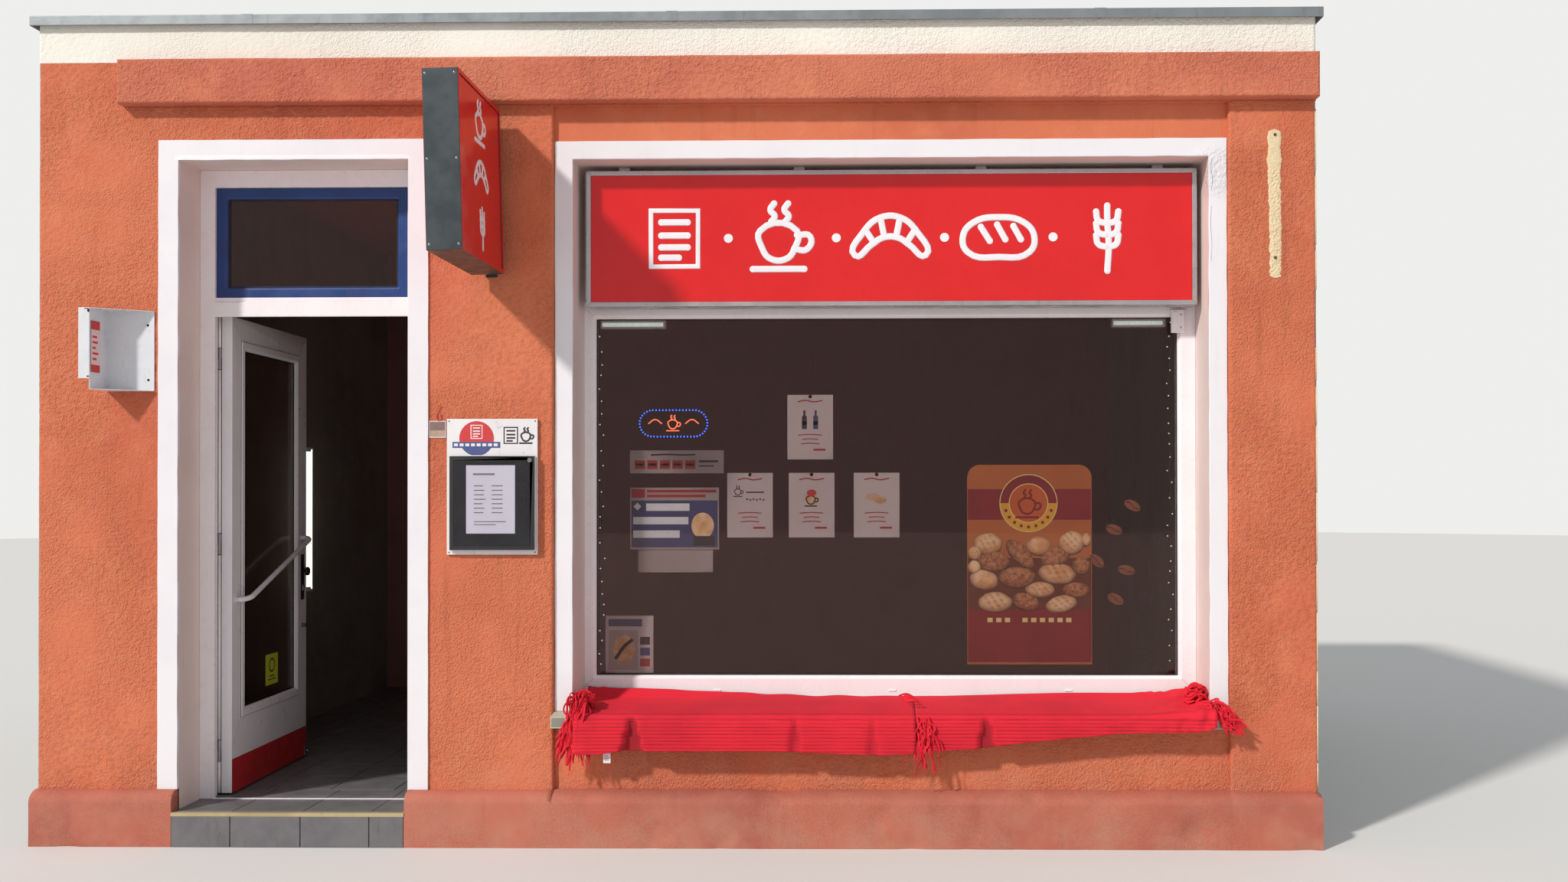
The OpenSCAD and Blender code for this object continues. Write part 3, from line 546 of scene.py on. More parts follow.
def paintSides(bm):
    # material of each face by the way it looks: 0 the coat, 1 reveals, 2 party sides, 3 the room's side
    opening = (*doorX, *windowX)
    for face in bm.faces:
        way, spot = face.normal, face.calc_center_median()
        if abs(way.x) > 0.7 and len(face.verts) == 4:
            if min(abs(spot.x - leftX), abs(spot.x - rightX)) < 0.015:
                face.material_index = 2
            elif min(abs(spot.x - edge) for edge in opening) < 0.006:
                face.material_index = 1
        elif way.z < -0.7 and abs(spot.z - headZ) < 0.01:
            face.material_index = 1
        elif len(face.verts) > 4:
            face.material_index = 3


def makeWall(name, node, panels, far=0.0, cell=None):
    bm = bmesh.new()
    for x, z, face, back, free in panels:
        addPanel(bm, x, z, face, back, cell or reliefSet["cell"], reliefSet, far, free)
    faceOut(bm)
    paintSides(bm)
    finishPiece(bm, name, (wallMat, revealMat, partyMat, roomMat), (node,), coatAngle)


pierZ = (0, wallZ)
makeWall("PierLeftCoat", "pier_left", [((leftX, doorX[0]), pierZ, frontY, innerY, "L")])
makeWall("PierMiddleCoat", "pier_middle", [((doorX[1], bayX[0]), pierZ, frontY, innerY, "R"),
                                           ((bayX[0] - 0.004, windowX[0]), pierZ, bayY, innerY, "")])
makeWall("PierRightCoat", "pier_right", [((windowX[1], bayX[1] + 0.004), pierZ, bayY, innerY, ""),
                                         ((bayX[1], rightX), pierZ, frontY, innerY, "LR")])
makeWall("OverDoorCoat", "wall_over_door", [(doorX, (headZ, wallZ), frontY, innerY, "")])
makeWall("OverWindowCoat", "wall_over_window", [(windowX, (headZ, wallZ), bayY, innerY, "")])
makeWall("ApronCoat", "window_apron", [(windowX, (0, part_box("window_apron")[1].z), bayY, innerY, "")])
makeWall("RearCoat", "rear_wall", [((leftX, rightX), pierZ, rearY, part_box("rear_wall")[0].y, "LR")], 40.0,
         reliefSet["rearCell"])

slabLow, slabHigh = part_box("roof_slab")
beltLow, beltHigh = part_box("belt_band")
beltLeft = min(v.co.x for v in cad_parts["belt_band"].data.vertices if v.co.y < 0)
bm = bmesh.new()
addPanel(bm, (beltLeft, rightX), (beltLow.z, beltHigh.z), beltLow.y, frontY, reliefSet["cell"],
         dict(reliefSet, round=0.006), 0, "LRBT")
addPanel(bm, (leftX, rightX), (beltLow.z, beltHigh.z), beltHigh.y, rearY, reliefSet["rearCell"], reliefSet, 40.0,
         "LRBT")
finishPiece(faceOut(bm), "BeltCoat", (beltMat,), ("belt_band",), coatAngle)

bm = bmesh.new()
slabJoint = beltLeft + 0.02
addPanel(bm, (leftX, slabJoint), (slabLow.z, slabHigh.z), frontY, slabHigh.y, reliefSet["cell"], reliefSet, 0, "L")
addBlock(bm, (slabJoint, frontY + 0.004, slabLow.z), (rightX, slabHigh.y, slabHigh.z))
faceOut(bm)
for face in bm.faces:
    if abs(face.normal.x) > 0.7:
        face.material_index = 1
finishPiece(bm, "RoofSlabCoat", (wallMat, partyMat), ("roof_slab",), coatAngle)

# The parapet's white roughcast, on all four outer sides
parapetLow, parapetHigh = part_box("parapet")
roughcastSet = dict(reliefSet, depth=0.0018, grainScale=62, round=0.008)
wellX = (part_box("roof_covering")[0].x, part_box("roof_covering")[1].x)
wellY = (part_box("roof_covering")[0].y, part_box("roof_covering")[1].y)
parapetZ = (parapetLow.z, parapetHigh.z)
bm = bmesh.new()
addPanel(bm, (leftX, rightX), parapetZ, frontY, wellY[0], reliefSet["cell"], roughcastSet, 12.0, "LR")
addPanel(bm, (leftX, rightX), parapetZ, rearY, wellY[1], reliefSet["rearCell"], roughcastSet, 47.0, "LR")
addPanel(bm, wellY, parapetZ, leftX, wellX[0], reliefSet["rearCell"], roughcastSet, 52.0, "", True)
addPanel(bm, wellY, parapetZ, rightX, wellX[1], reliefSet["rearCell"], roughcastSet, 58.0, "", True)
finishPiece(faceOut(bm), "ParapetCoat", (stripMat,), ("parapet",), coatAngle)
print("rendered walls made")


# Plinth and plaster bands: copies of the nodes, worked by hand as it were

def keepInside(bm, nodeName):
    low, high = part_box(nodeName)
    for v in bm.verts:
        v.co = Vector(min(max(c, a), b) for c, a, b in zip(v.co, low, high))


def sinkBacks(bm, planes, depth):
    # rear faces go a little into the rough wall, so that no gap shows behind
    for v in bm.verts:
        for plane, way in planes:
            if abs(v.co.y - plane) < 0.0006:
                v.co.y += way * depth
                break


plinthBm = copyOf("plinth")
sliceUp(plinthBm, 0, 0.028)
sliceUp(plinthBm, 2, 0.028)
sinkBacks(plinthBm, ((frontY, 1), (bayY, 1), (rearY, -1)), 0.009)
for v in plinthBm.verts:
    inward = 1 if v.co.y < 0 else -1
    chip = max(0.0, noise.noise(v.co * 7 + Vector((4, 4, 4))) - 0.28) * 0.03
    dent = 0.0022 * (0.5 + 0.5 * noise.noise(v.co * 21)) + 0.0015 * (0.5 + 0.5 * noise.noise(v.co * 5))
    v.co.y += inward * (dent + chip)
    v.co.z -= 0.6 * chip if v.co.z > 0.18 else 0
keepInside(plinthBm, "plinth")
finishPiece(faceOut(plinthBm), "PlinthCoat", (plinthMat,), ("plinth",), 42)

for nodeName, name, plane in (("door_surround", "DoorBand", frontY), ("window_surround", "WindowBand", bayY)):
    bandBm = copyOf(nodeName)
    for axis in (0, 2):
        sliceUp(bandBm, axis, 0.022)
    sinkBacks(bandBm, ((plane, 1),), 0.009)
    for v in bandBm.verts:
        lift = 0.0016 * (0.5 + 0.5 * noise.noise(v.co * 6)) + 0.0007 * noise.noise(v.co * 40)
        if v.co.y < plane:
            v.co.y += max(0.0, lift)
        v.co.x += 0.0016 * noise.noise(Vector((v.co.z * 9, 1, v.co.x * 3)))
        v.co.z += 0.0014 * noise.noise(Vector((v.co.x * 9, 6, v.co.z * 3))) if v.co.z > 1 else 0
    band = finishPiece(faceOut(bandBm), name, (bandMat,), (nodeName,), 50)
    softenEdges(band, 0.003, 50, False)
print("plinth and bands made")

for nodeName in ("party_wall_left", "party_wall_right"):
    dress(nodeName, partyMat)

# Finishes of joinery, metal, signs and paper: name, tone, shade, dirt, roughness and what else differs

whiteMat = paintFinish("whiteProfile", (243, 236, 239), (237, 228, 231), 0.06, 0.30, worn=(206, 196, 190),
                       wearWidth=0.003, grime=(150, 136, 128))
leafMat = paintFinish("whiteLeaf", (238, 235, 238), (230, 226, 229), 0.12, 0.34, worn=(190, 182, 176), wearWidth=0.003,
                      grime=(140, 128, 118))
blueMat = paintFinish("bluePaint", (27, 58, 120), (22, 46, 98), 0.12, 0.36, worn=(84, 98, 124), wearWidth=0.002,
                      grime=(50, 58, 74))
kickMat = paintFinish("redKickPlate", (190, 40, 44), (164, 32, 38), 0.5, 0.42, worn=(140, 96, 88), grime=(96, 62, 56))
barMat = paintFinish("whiteBar", (228, 226, 228), (210, 206, 208), 0.25, 0.25, worn=(150, 146, 142))
lockMat = paintFinish("darkLock", (58, 56, 58), (44, 42, 44), 0.2, 0.36, metal=0.8, worn=(150, 146, 140))
steelMat = paintFinish("hingeSteel", (168, 168, 170), (140, 140, 144), 0.3, 0.34, metal=1.0, skinScale=500,
                       skinWay=(1, 1, 0.1))
gasketMat = paintFinish("blackGasket", (34, 33, 34), (26, 25, 26), 0.35, 0.6)
copingMat = paintFinish("copingSheet", (146, 151, 154), (122, 128, 132), 0.35, 0.42, metal=0.55, skin=0.0012,
                        skinScale=18, grime=(84, 84, 82))
feltMat = paintFinish("mineralFelt", (92, 92, 92), (72, 72, 74), 0.4, 0.93, skin=0.003, skinScale=420,
                      grime=(58, 60, 52), hazeScale=1.4)
trimMat = paintFinish("nosingTrim", (196, 180, 140), (170, 152, 116), 0.45, 0.45, metal=0.4, worn=(214, 206, 188))
tileMat = paintFinish("stoneTile", (112, 110, 112), (92, 90, 94), 0.5, 0.46, hazeScale=9.0, skin=0.0006,
                      grime=(72, 64, 58))
groutMat = paintFinish("greyGrout", (74, 70, 68), (60, 57, 55), 0.3, 0.95)
aluMat = paintFinish("signAluminium", (196, 190, 192), (176, 170, 172), 0.2, 0.30, metal=0.75, skinScale=380,
                     skinWay=(0.05, 1, 1), worn=(220, 216, 216))
redMat = paintFinish("redAcrylic", (219, 32, 34), (207, 27, 29), 0.10, 0.16, grime=(120, 30, 26), skin=0.0004,
                     skinScale=6)
vinylMat = paintFinish("whiteVinyl", (240, 236, 240), (230, 226, 232), 0.08, 0.3)
sheetMat = paintFinish("darkSignSheet", (68, 76, 79), (54, 62, 65), 0.35, 0.40, metal=0.5, worn=(150, 152, 150),
                       grime=(66, 62, 58), skin=0.0008, skinScale=12)
boardMat = paintFinish("whiteBoard", (234, 231, 232), (222, 218, 220), 0.16, 0.35, worn=(160, 152, 146),
                       wearWidth=0.002)
caseMat = paintFinish("blackCase", (40, 38, 42), (30, 28, 32), 0.25, 0.38, worn=(92, 88, 88), wearWidth=0.002)
feltBackMat = paintFinish("caseBackcloth", (36, 33, 36), (28, 26, 30), 0.2, 0.9, skin=0.001, skinScale=700)
rackMat = paintFinish("rackEnamel", (222, 224, 228), (204, 207, 213), 0.3, 0.28, worn=(74, 64, 58), wearWidth=0.003,
                      grime=(120, 104, 92))
paperMat = paintFinish("paper", (238, 224, 224), (228, 212, 213), 0.05, 0.85, skin=0.0004, skinScale=300)
officeMat = paintFinish("officePaper", (226, 222, 238), (216, 211, 230), 0.04, 0.8)
newsMat = paintFinish("newsprint", (206, 192, 190), (192, 178, 176), 0.12, 0.92)
inkRedMat = paintFinish("redInk", (206, 60, 62), (190, 50, 54), 0.03, 0.7)
inkDarkMat = paintFinish("darkInk", (66, 58, 62), (54, 47, 52), 0.03, 0.75)
fadedMat = paintFinish("fadedPrint", (136, 112, 108), (112, 90, 88), 0.2, 0.8, hazeScale=60)
fadedLowMat = paintFinish("fadedPrintLow", (184, 156, 138), (158, 128, 112), 0.2, 0.8, hazeScale=60)
paleRedMat = paintFinish("paleRedPrint", (232, 204, 204), (222, 188, 190), 0.1, 0.6, hazeScale=40)
inkGreyMat = paintFinish("greyInk", (142, 130, 134), (128, 117, 122), 0.03, 0.75)
inkBlueMat = paintFinish("blueInk", (78, 88, 140), (68, 78, 128), 0.03, 0.7)
crustMat = breadFinish("bakedCrust", {"tone": (252, 208, 164), "shade": (228, 162, 108), "deep": (104, 48, 28),
                                      "grain": 13.0, "seed": 0.0})
grainCrustMat = breadFinish("grainCrust", {"tone": (214, 146, 100), "shade": (164, 98, 62), "deep": (84, 36, 22),
                                           "grain": 60.0, "seed": 0.5})
creamMat = paintFinish("creamInk", (246, 222, 150), (240, 210, 130), 0.03, 0.5)
cardMat = paintFinish("orangeCard", (226, 128, 58), (208, 106, 46), 0.04, 0.42, hazeScale=2.2)
# painted shade: the dark block that fills the gaps between the rolls
rollGapShadeMat = paintFinish("rollGapShade", (118, 58, 34), (90, 42, 26), 0.1, 0.6, hazeScale=20)
beanMat = paintFinish("beanPrint", (156, 92, 66), (134, 74, 52), 0.2, 0.7, hazeScale=40)
emblemMat = paintFinish("emblemOrange", (214, 104, 40), (196, 88, 32), 0.04, 0.42)
wineMat = paintFinish("darkRedCard", (146, 30, 34), (126, 24, 30), 0.03, 0.42)
yellowMat = paintFinish("yellowInk", (238, 178, 52), (230, 164, 44), 0.03, 0.45)
stickerMat = paintFinish("limeSticker", (202, 206, 52), (186, 190, 44), 0.1, 0.5)
fillerMat = paintFinish("creamFiller", (226, 206, 168), (204, 180, 140), 0.25, 0.9, hazeScale=26, skin=0.003,
                        skinScale=130, grime=(168, 120, 84))
sillEndMat = paintFinish("sillEndFace", (134, 140, 126), (118, 124, 112), 0.2, 0.6, skin=0.0008, skinScale=120)
# painted shade: dark holes, key slots and screw slots; also the bare dark metal at the rack's chipped paint
holeShadeAndChipMat = paintFinish("holeShadeAndChip", (28, 24, 22), (20, 17, 16), 0.1, 0.9)
# painted shade: the fine shadow lines of mitres and hairline cracks
shadowLineMat = paintFinish("crackShadow", (126, 112, 104), (104, 92, 86), 0.1, 0.95)
glassMat = glassFinish("clearGlass", (220, 212, 210), 0.01, (255, 214, 206))
paneMat = glassFinish("casePane", (60, 62, 66), 0.03, (255, 255, 255), 0.0, 0.10)
tapeMat = paintFinish("clearTape", (226, 220, 214), (216, 208, 202), 0.05, 0.25)


def stoneFinish(name, look):
    # speckled cut stone with rain stains
    mat = startMaterial(name)
    spot = place(mat)
    grains = put(mat, "TexVoronoi", {"Vector": spot, "Scale": 230.0}).outputs["Color"]
    pick = put(mat, "SeparateColor", {0: grains}).outputs[0]
    tone = tint(mat, remap(mat, pick, 0.2, 0.9), look["tone"], look["shade"])
    tone = tint(mat, times(mat, remap(mat, pick, 0.86, 0.9), 0.4), tone, look["fleck"])
    stain = remap(mat, cloud(mat, place(mat, (3, 3, 1)), 3, 5, 0.65), 0.45, 0.75)
    tone = tint(mat, times(mat, stain, 0.45), tone, look["stain"])
    bumps = relief(mat, pick, 0.0003, 0.6, relief(mat, cloud(mat, spot, 40, 4), 0.0015, 0.7))
    return setShader(mat, Base_Color=tone, Roughness=look["rough"], Normal=bumps)


def knitFinish(name, look):
    # ribbed cotton knit: painted shade in the grooves between the ribs, in the nose crease and in the pleats, stitches
    # along the ribs and a soft fuzz
    mat = startMaterial(name)
    spot = place(mat)
    fade = remap(mat, cloud(mat, spot, 3.0, 4, 0.6), 0.38, 0.7)
    tone = tint(mat, fade, look["tone"], look["shade"])
    # painted shade: the grooves, the nose crease and the pleats, from the throw's shade mask, darkened with the deep
    # colour
    groove = hollowOf(mat)
    tone = tint(mat, times(mat, groove, 0.8), tone, look["deep"])
    rows = put(mat, "TexWave", {"Vector": place(mat, (1, 0.2, 0.2)), "Scale": 62.0, "Distortion": 2.2, "Detail": 2.0},
               bands_direction="X").outputs[0]
    fuzz = cloud(mat, spot, 420, 3, 0.6)
    tone = tint(mat, times(mat, remap(mat, rows, 0.5, 0.1), 0.05), tone, look["deep"])
    tone = tint(mat, times(mat, remap(mat, fuzz, 0.5, 0.75), 0.10), tone, look["fuzz"])
    bumps = relief(mat, fuzz, 0.0007, 0.5, relief(mat, rows, 0.0004, 0.4))
    setShader(mat, Base_Color=tone, Roughness=0.9, Normal=bumps)
    return setShader(mat, Sheen_Weight=0.12, Sheen_Roughness=0.5, Sheen_Tint=linear(look["fuzz"]))


def lightFinish(name, tone, strength):
    mat = startMaterial(name)
    glow = cloud(mat, place(mat), 60, 2)
    mixed = tint(mat, remap(mat, glow, 0.3, 0.7), tone, tuple(int(c * 0.9) for c in tone))
    setShader(mat, Base_Color=mixed, Emission_Color=linear(tone), Emission_Strength=strength, Roughness=0.35)
    return mat


stoneMat = stoneFinish("sillStone", {"tone": (192, 188, 170), "shade": (180, 175, 156), "fleck": (132, 128, 116),
                                     "stain": (142, 138, 122), "rough": 0.62})
knitMat = knitFinish("redKnit", {"tone": (222, 24, 48), "shade": (204, 18, 42), "deep": (104, 6, 22),
                                 "fuzz": (236, 70, 84)})
lampMat = lightFinish("lampTube", (226, 240, 228), 0.55)
roomLampMat = lightFinish("roomLampTube", (255, 255, 226), 1.5)
ringBlueMat = lightFinish("ringBlue", (70, 110, 240), 1.6)
ringWarmMat = lightFinish("ringWarm", (255, 120, 80), 1.7)
beadMat = lightFinish("lightBead", (240, 240, 232), 0.7)
print("finishes made")


# Shapes used by several pieces

def addFrame(bm, x, z, y, width, rise, material=0, bevel=0.0):
    # four bars round a rectangle; rise goes towards the viewer
    near, far = y - rise, y
    for low, high in (((x[0], near, z[0]), (x[1], far, z[0] + width)), ((x[0], near, z[1] - width), (x[1], far, z[1])),
                      ((x[0], near, z[0] + width), (x[0] + width, far, z[1] - width)),
                      ((x[1] - width, near, z[0] + width), (x[1], far, z[1] - width))):
        addBlock(bm, low, high, material, bevel, 1)


def joinCurve(bm, data, material, turn):
    # a curve's mesh, placed and joined to the rest
    item = bpy.data.objects.new("curve", data)
    mesh = bpy.data.meshes.new_from_object(item)
    mesh.transform(turn)
    for face in mesh.polygons:
        face.material_index, face.use_smooth = material, True
    bm.from_mesh(mesh)
    bpy.data.objects.remove(item)
    bpy.data.meshes.remove(mesh)


def addStroke(bm, points, width, y, rise, material=0, closed=False, sharp=False):
    # a round-ended line drawn in the XZ plane, flattened to a raised stroke
    data = bpy.data.curves.new("stroke", "CURVE")
    data.dimensions = "3D"
    data.bevel_depth, data.bevel_resolution, data.resolution_u = width / 2, 2, 5
    data.use_fill_caps = not closed
    spline = data.splines.new("POLY" if sharp else "BEZIER")
    if sharp:
        spline.points.add(len(points) - 1)
        for spot, (x, z) in zip(spline.points, points):
            spot.co = (x, 0, z, 1)
    else:
        spline.bezier_points.add(len(points) - 1)
        for spot, (x, z) in zip(spline.bezier_points, points):
            spot.co = (x, 0, z)
            spot.handle_left_type = spot.handle_right_type = "AUTO"
    spline.use_cyclic_u = closed
    flat = Matrix.Translation((0, y, 0)) @ Matrix.Diagonal((1, rise * 2 / width, 1, 1))
    joinCurve(bm, data, material, flat)
    if not closed:
        for x, z in (points[0], points[-1]):
            ball = bmesh.ops.create_uvsphere(bm, u_segments=12, v_segments=6, radius=width / 2,
                                             matrix=flat @ Matrix.Translation((x, 0, z)))["verts"]
            paintFaces(ball, material, True)


def addDisc(bm, x, z, radius, y, rise, material=0, segments=24, squash=1.0):
    turn = Matrix.Translation((x, y - rise / 2, z)) @ Matrix.Diagonal((1, 1, squash, 1)) @ upright
    made = bmesh.ops.create_cone(bm, cap_ends=True, segments=segments, radius1=radius, radius2=radius, depth=rise,
                                 matrix=turn)["verts"]
    paintFaces(made, material)


def addHalfDisc(bm, x, z, radius, y, rise, material, cutZ, way):
    # a disc cut level at cutZ; way 1 keeps what is below, -1 what is above
    half = bmesh.new()
    addDisc(half, x, z, radius, y, rise, material, 56)
    cut = bmesh.ops.bisect_plane(half, geom=half.verts[:] + half.edges[:] + half.faces[:], plane_co=(0, 0, cutZ),
                                 plane_no=(0, 0, way), clear_outer=True)["geom_cut"]
    bmesh.ops.contextual_create(half, geom=[g for g in cut if isinstance(g, bmesh.types.BMEdge)])
    joinInto(bm, half)


def addScrew(bm, spot, radius, material=0):
    # a domed screw head that faces the viewer, with a cross slot: a dark bar of painted shade in the next material
    turn = Matrix.Translation(spot) @ Vector((0, -1, 0)).to_track_quat("Z", "Y").to_matrix().to_4x4()
    made = bmesh.ops.create_uvsphere(bm, u_segments=12, v_segments=8, radius=radius,
                                     matrix=turn @ Matrix.Diagonal((1, 1, 0.45, 1)))["verts"]
    paintFaces(made, material, True)
    for angle in (20, 110):
        slot = (turn @ Matrix.Rotation(math.radians(angle), 4, "Z") @ Matrix.Translation((0, 0, radius * 0.43))
                @ Matrix.Diagonal((radius * 1.2, radius * 0.22, radius * 0.1, 1)))
        paintFaces(bmesh.ops.create_cube(bm, size=1, matrix=slot)["verts"], material + 1)


# Generic pictograms on a 1 x 1 square: each line is (points, closed, sharp)
pictograms = {
    "cup": [([(-.30, .10), (.20, .10), (.17, -.14), (.06, -.28), (-.16, -.28), (-.27, -.14)], True, False),
            ([(.20, .04), (.38, .02), (.34, -.15), (.16, -.15)], False, False),
            ([(-.40, -.42), (.30, -.42)], False, True),
            ([(-.15, .22), (-.10, .30), (-.16, .38), (-.11, .47)], False, False),
            ([(.04, .22), (.09, .30), (.03, .38), (.08, .47)], False, False)],
    "croissant": [([(-.48, -.24), (-.36, .08), (-.14, .27), (.14, .27), (.36, .08), (.48, -.24), (.26, -.10), (.10, .0),
                    (-.10, .0), (-.26, -.10)], True, False), ([(-.13, .26), (-.08, .01)], False, True),
                  ([(.13, .26), (.08, .01)], False, True), ([(-.34, .11), (-.22, -.07)], False, True),
                  ([(.34, .11), (.22, -.07)], False, True)],
    "loaf": [([(-.42, -.20), (-.48, .02), (-.34, .20), (0, .27), (.34, .20), (.48, .02), (.42, -.20), (0, -.27)], True,
              False),
             ([(-.24, .14), (-.12, -.05)], False, True), ([(-.02, .17), (.09, -.03)], False, True),
             ([(.20, .15), (.30, -.03)], False, True)],
    "paper": [([(-.32, -.38), (-.32, .38), (.32, .38), (.32, -.38)], True, True),
              ([(-.18, .22), (.18, .22)], False, True),
              ([(-.18, .04), (.18, .04)], False, True), ([(-.18, -.12), (.18, -.12)], False, True),
              ([(-.18, -.26), (.06, -.26)], False, True)],
    "wheat": [([(0, -.46), (.02, -.10), (0, .20)], False, False)]
             + [([(0, z), (side * .12, z + .04), (side * .15, z + .16)], False, False)
                for z in (-.14, .02, .18) for side in (-1, 1)] + [([(0, .26), (0, .42)], False, True)],
}


def addPictogram(bm, name, x, z, size, line, y, rise, material=0):
    for points, closed, sharp in pictograms[name]:
        placed = [(x + px * size, z + pz * size) for px, pz in points]
        addStroke(bm, placed, line, y, rise, material, closed, sharp)


def smoothCopy(nodeName, name, mat, width, body):
    # a node with round parts: merged, smooth shaded and eased, standing for the node
    item = finishPiece(faceOut(copyOf(nodeName)), name, (mat,), (nodeName,), 35, body)
    if width:
        softenEdges(item, width, 40)


def addMitre(bm, x, z, way, run, y, width=0.0011):
    # the fine shadow line of a welded or cut corner
    ends = [(x + way[0] * far, z + way[1] * far) for far in run]
    addStroke(bm, ends, width, y, 0.0002, 0, False, True)


# Doorstep and floor tiles

stepSet = {"joints": (-1.923, -1.615, -1.314), "gap": 0.004, "thick": 0.008, "deep": 0.300, "ease": 0.0015}
stepLow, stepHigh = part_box("door_step")
nosingLow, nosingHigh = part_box("step_nosing")
bm = bmesh.new()
addBlock(bm, (stepLow.x, stepLow.y + 0.005, 0), (stepHigh.x, stepHigh.y, stepHigh.z - 0.004), 1)
edges = (stepLow.x, *stepSet["joints"], stepHigh.x)
half = stepSet["gap"] / 2
for left, right in zip(edges, edges[1:]):
    addBlock(bm, (left + half, stepLow.y, 0.001), (right - half, stepLow.y + stepSet["thick"], nosingLow.z - 0.001), 0,
             stepSet["ease"], 2)
    y = nosingHigh.y + half
    while y < stepHigh.y - 0.02:
        end = min(y + stepSet["deep"], stepHigh.y)
        addBlock(bm, (left + half, y, stepHigh.z - stepSet["thick"]), (right - half, end - half, stepHigh.z), 0,
                 stepSet["ease"], 2)
        y = end + half
finishPiece(bm, "StepTiles", (tileMat, groutMat), ("door_step",))
dress("step_nosing", trimMat)

floorSet = {"tile": 0.302, "gap": 0.004, "thick": 0.008, "ease": 0.0012, "least": 0.02}
slabMin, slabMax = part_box("floor_slab")
bm = bmesh.new()
addBlock(bm, slabMin, (slabMax.x, slabMax.y, slabMax.z - floorSet["gap"]), 1)
tile = floorSet["tile"]
for i in range(int((slabMax.x - slabMin.x) / tile) + 1):
    for j in range(int((slabMax.y - slabMin.y) / tile) + 1):
        x, y = slabMin.x + i * tile, slabMin.y + j * tile
        endX, endY = (min(start + tile - floorSet["gap"], end) for start, end in ((x, slabMax.x), (y, slabMax.y)))
        if min(endX - x, endY - y) > floorSet["least"]:
            addBlock(bm, (x, y, slabMax.z - floorSet["thick"]), (endX, endY, slabMax.z), 0, floorSet["ease"], 1)
finishPiece(bm, "FloorTiles", (tileMat, groutMat), ("floor_slab",))
print("tiles laid")


# Roof: coping with its lap joints, felt with its laps and upstands

dress("coping", copingMat, 0.003)
dress("roof_covering", feltMat)
copingLow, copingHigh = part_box("coping")
copingSet = {"joints": (-1.87, 0.0, 1.87), "sideJoints": (-0.6, 0.9), "strap": 0.05, "thick": 0.0008, "lip": 0.026,
             "turnDown": 0.042, "ease": 0.0003}
bm = bmesh.new()
strap, thick, lip, top = copingSet["strap"] / 2, copingSet["thick"], copingSet["lip"], copingHigh.z
for sideways, places, runs in (
        (False, copingSet["joints"], ((copingLow.y, wellY[0] + lip), (wellY[1] - lip, copingHigh.y))),
        (True, copingSet["sideJoints"], ((copingLow.x, wellX[0] + lip), (wellX[1] - lip, copingHigh.x)))):
    for spot in places:
        for low, high in runs:
            # the strap itself, and its two ends turned down
            for start, end, foot in ((low, high, top), (low - thick, low + thick, top - copingSet["turnDown"]),
                                     (high - thick, high + thick, top - copingSet["turnDown"])):
                corners = [(spot - strap, start, foot), (spot + strap, end, top + thick)]
                if sideways:
                    corners = [(y, x, z) for x, y, z in corners]
                addBlock(bm, *corners, 0, copingSet["ease"], 1)
finishPiece(bm, "CopingJoints", (copingMat,))

feltLow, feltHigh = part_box("roof_covering")
feltSet = {"sheet": 0.96, "lap": 0.045, "thick": 0.003, "upstand": 0.006, "ease": 0.002}
eaveZ = feltLow.z + 0.020
bm = bmesh.new()
x = feltLow.x + feltSet["sheet"]
while x < feltHigh.x:
    for side in (-1, 1):
        made = addBlock(bm, (x - feltSet["lap"], 0, -0.002), (x + feltSet["lap"], 1, feltSet["thick"]))
        for v in made:
            v.co.z += feltHigh.z + (eaveZ - feltHigh.z) * v.co.y
            v.co.y *= side * feltHigh.y
    x += feltSet["sheet"]
thick = feltSet["upstand"]
for y in (feltLow.y, feltHigh.y - thick):
    addBlock(bm, (feltLow.x, y, eaveZ - 0.01), (feltHigh.x, y + thick, eaveZ + 0.09), 0, feltSet["ease"], 1)
for x in (feltLow.x, feltHigh.x - thick):
    addBlock(bm, (x, feltLow.y, eaveZ - 0.01), (x + thick, feltHigh.y, feltHigh.z + 0.06), 0, feltSet["ease"], 1)
finishPiece(faceOut(bm), "FeltLaps", (feltMat,))
print("roof made")


# Door frame, fanlight and leaf

for nodeName, mat, width in (("door_frame", whiteMat, 0.003), ("transom_sash", blueMat, 0.004),
                             ("door_leaf", leafMat, 0.003), ("glazing_beads", leafMat, 0.003),
                             ("kick_plate", kickMat, 0.0008), ("window_frame", whiteMat, 0.003)):
    dress(nodeName, mat, width)
for nodeName in ("window_glass", "door_glass", "transom_glass"):
    dress(nodeName, glassMat)

leafSet = {"pin": (-2.1295, -1.73), "open": 92.0, "x": 0.0035, "face": -0.056, "z": 0.159, "wide": 0.906, "tall": 2.198,
           "stile": 0.098, "top": 0.106, "bottom": 0.334, "bead": 0.040}
leafTurn = Matrix.Translation((*leafSet["pin"], 0)) @ Matrix.Rotation(math.radians(leafSet["open"]), 4, "Z")


def finishOnLeaf(bm, name, mats, smooth=None):
    # a piece modelled on the shut leaf, turned open and carried by it
    bmesh.ops.transform(bm, matrix=leafTurn, verts=bm.verts)
    finishPiece(faceOut(bm), name, mats, (), smooth, doorBody)


leafX0, leafX1 = leafSet["x"], leafSet["x"] + leafSet["wide"]
paneX = (leafX0 + leafSet["stile"], leafX1 - leafSet["stile"])
paneZ = (leafSet["z"] + leafSet["bottom"], leafSet["z"] + leafSet["tall"] - leafSet["top"])
bead = leafSet["bead"]

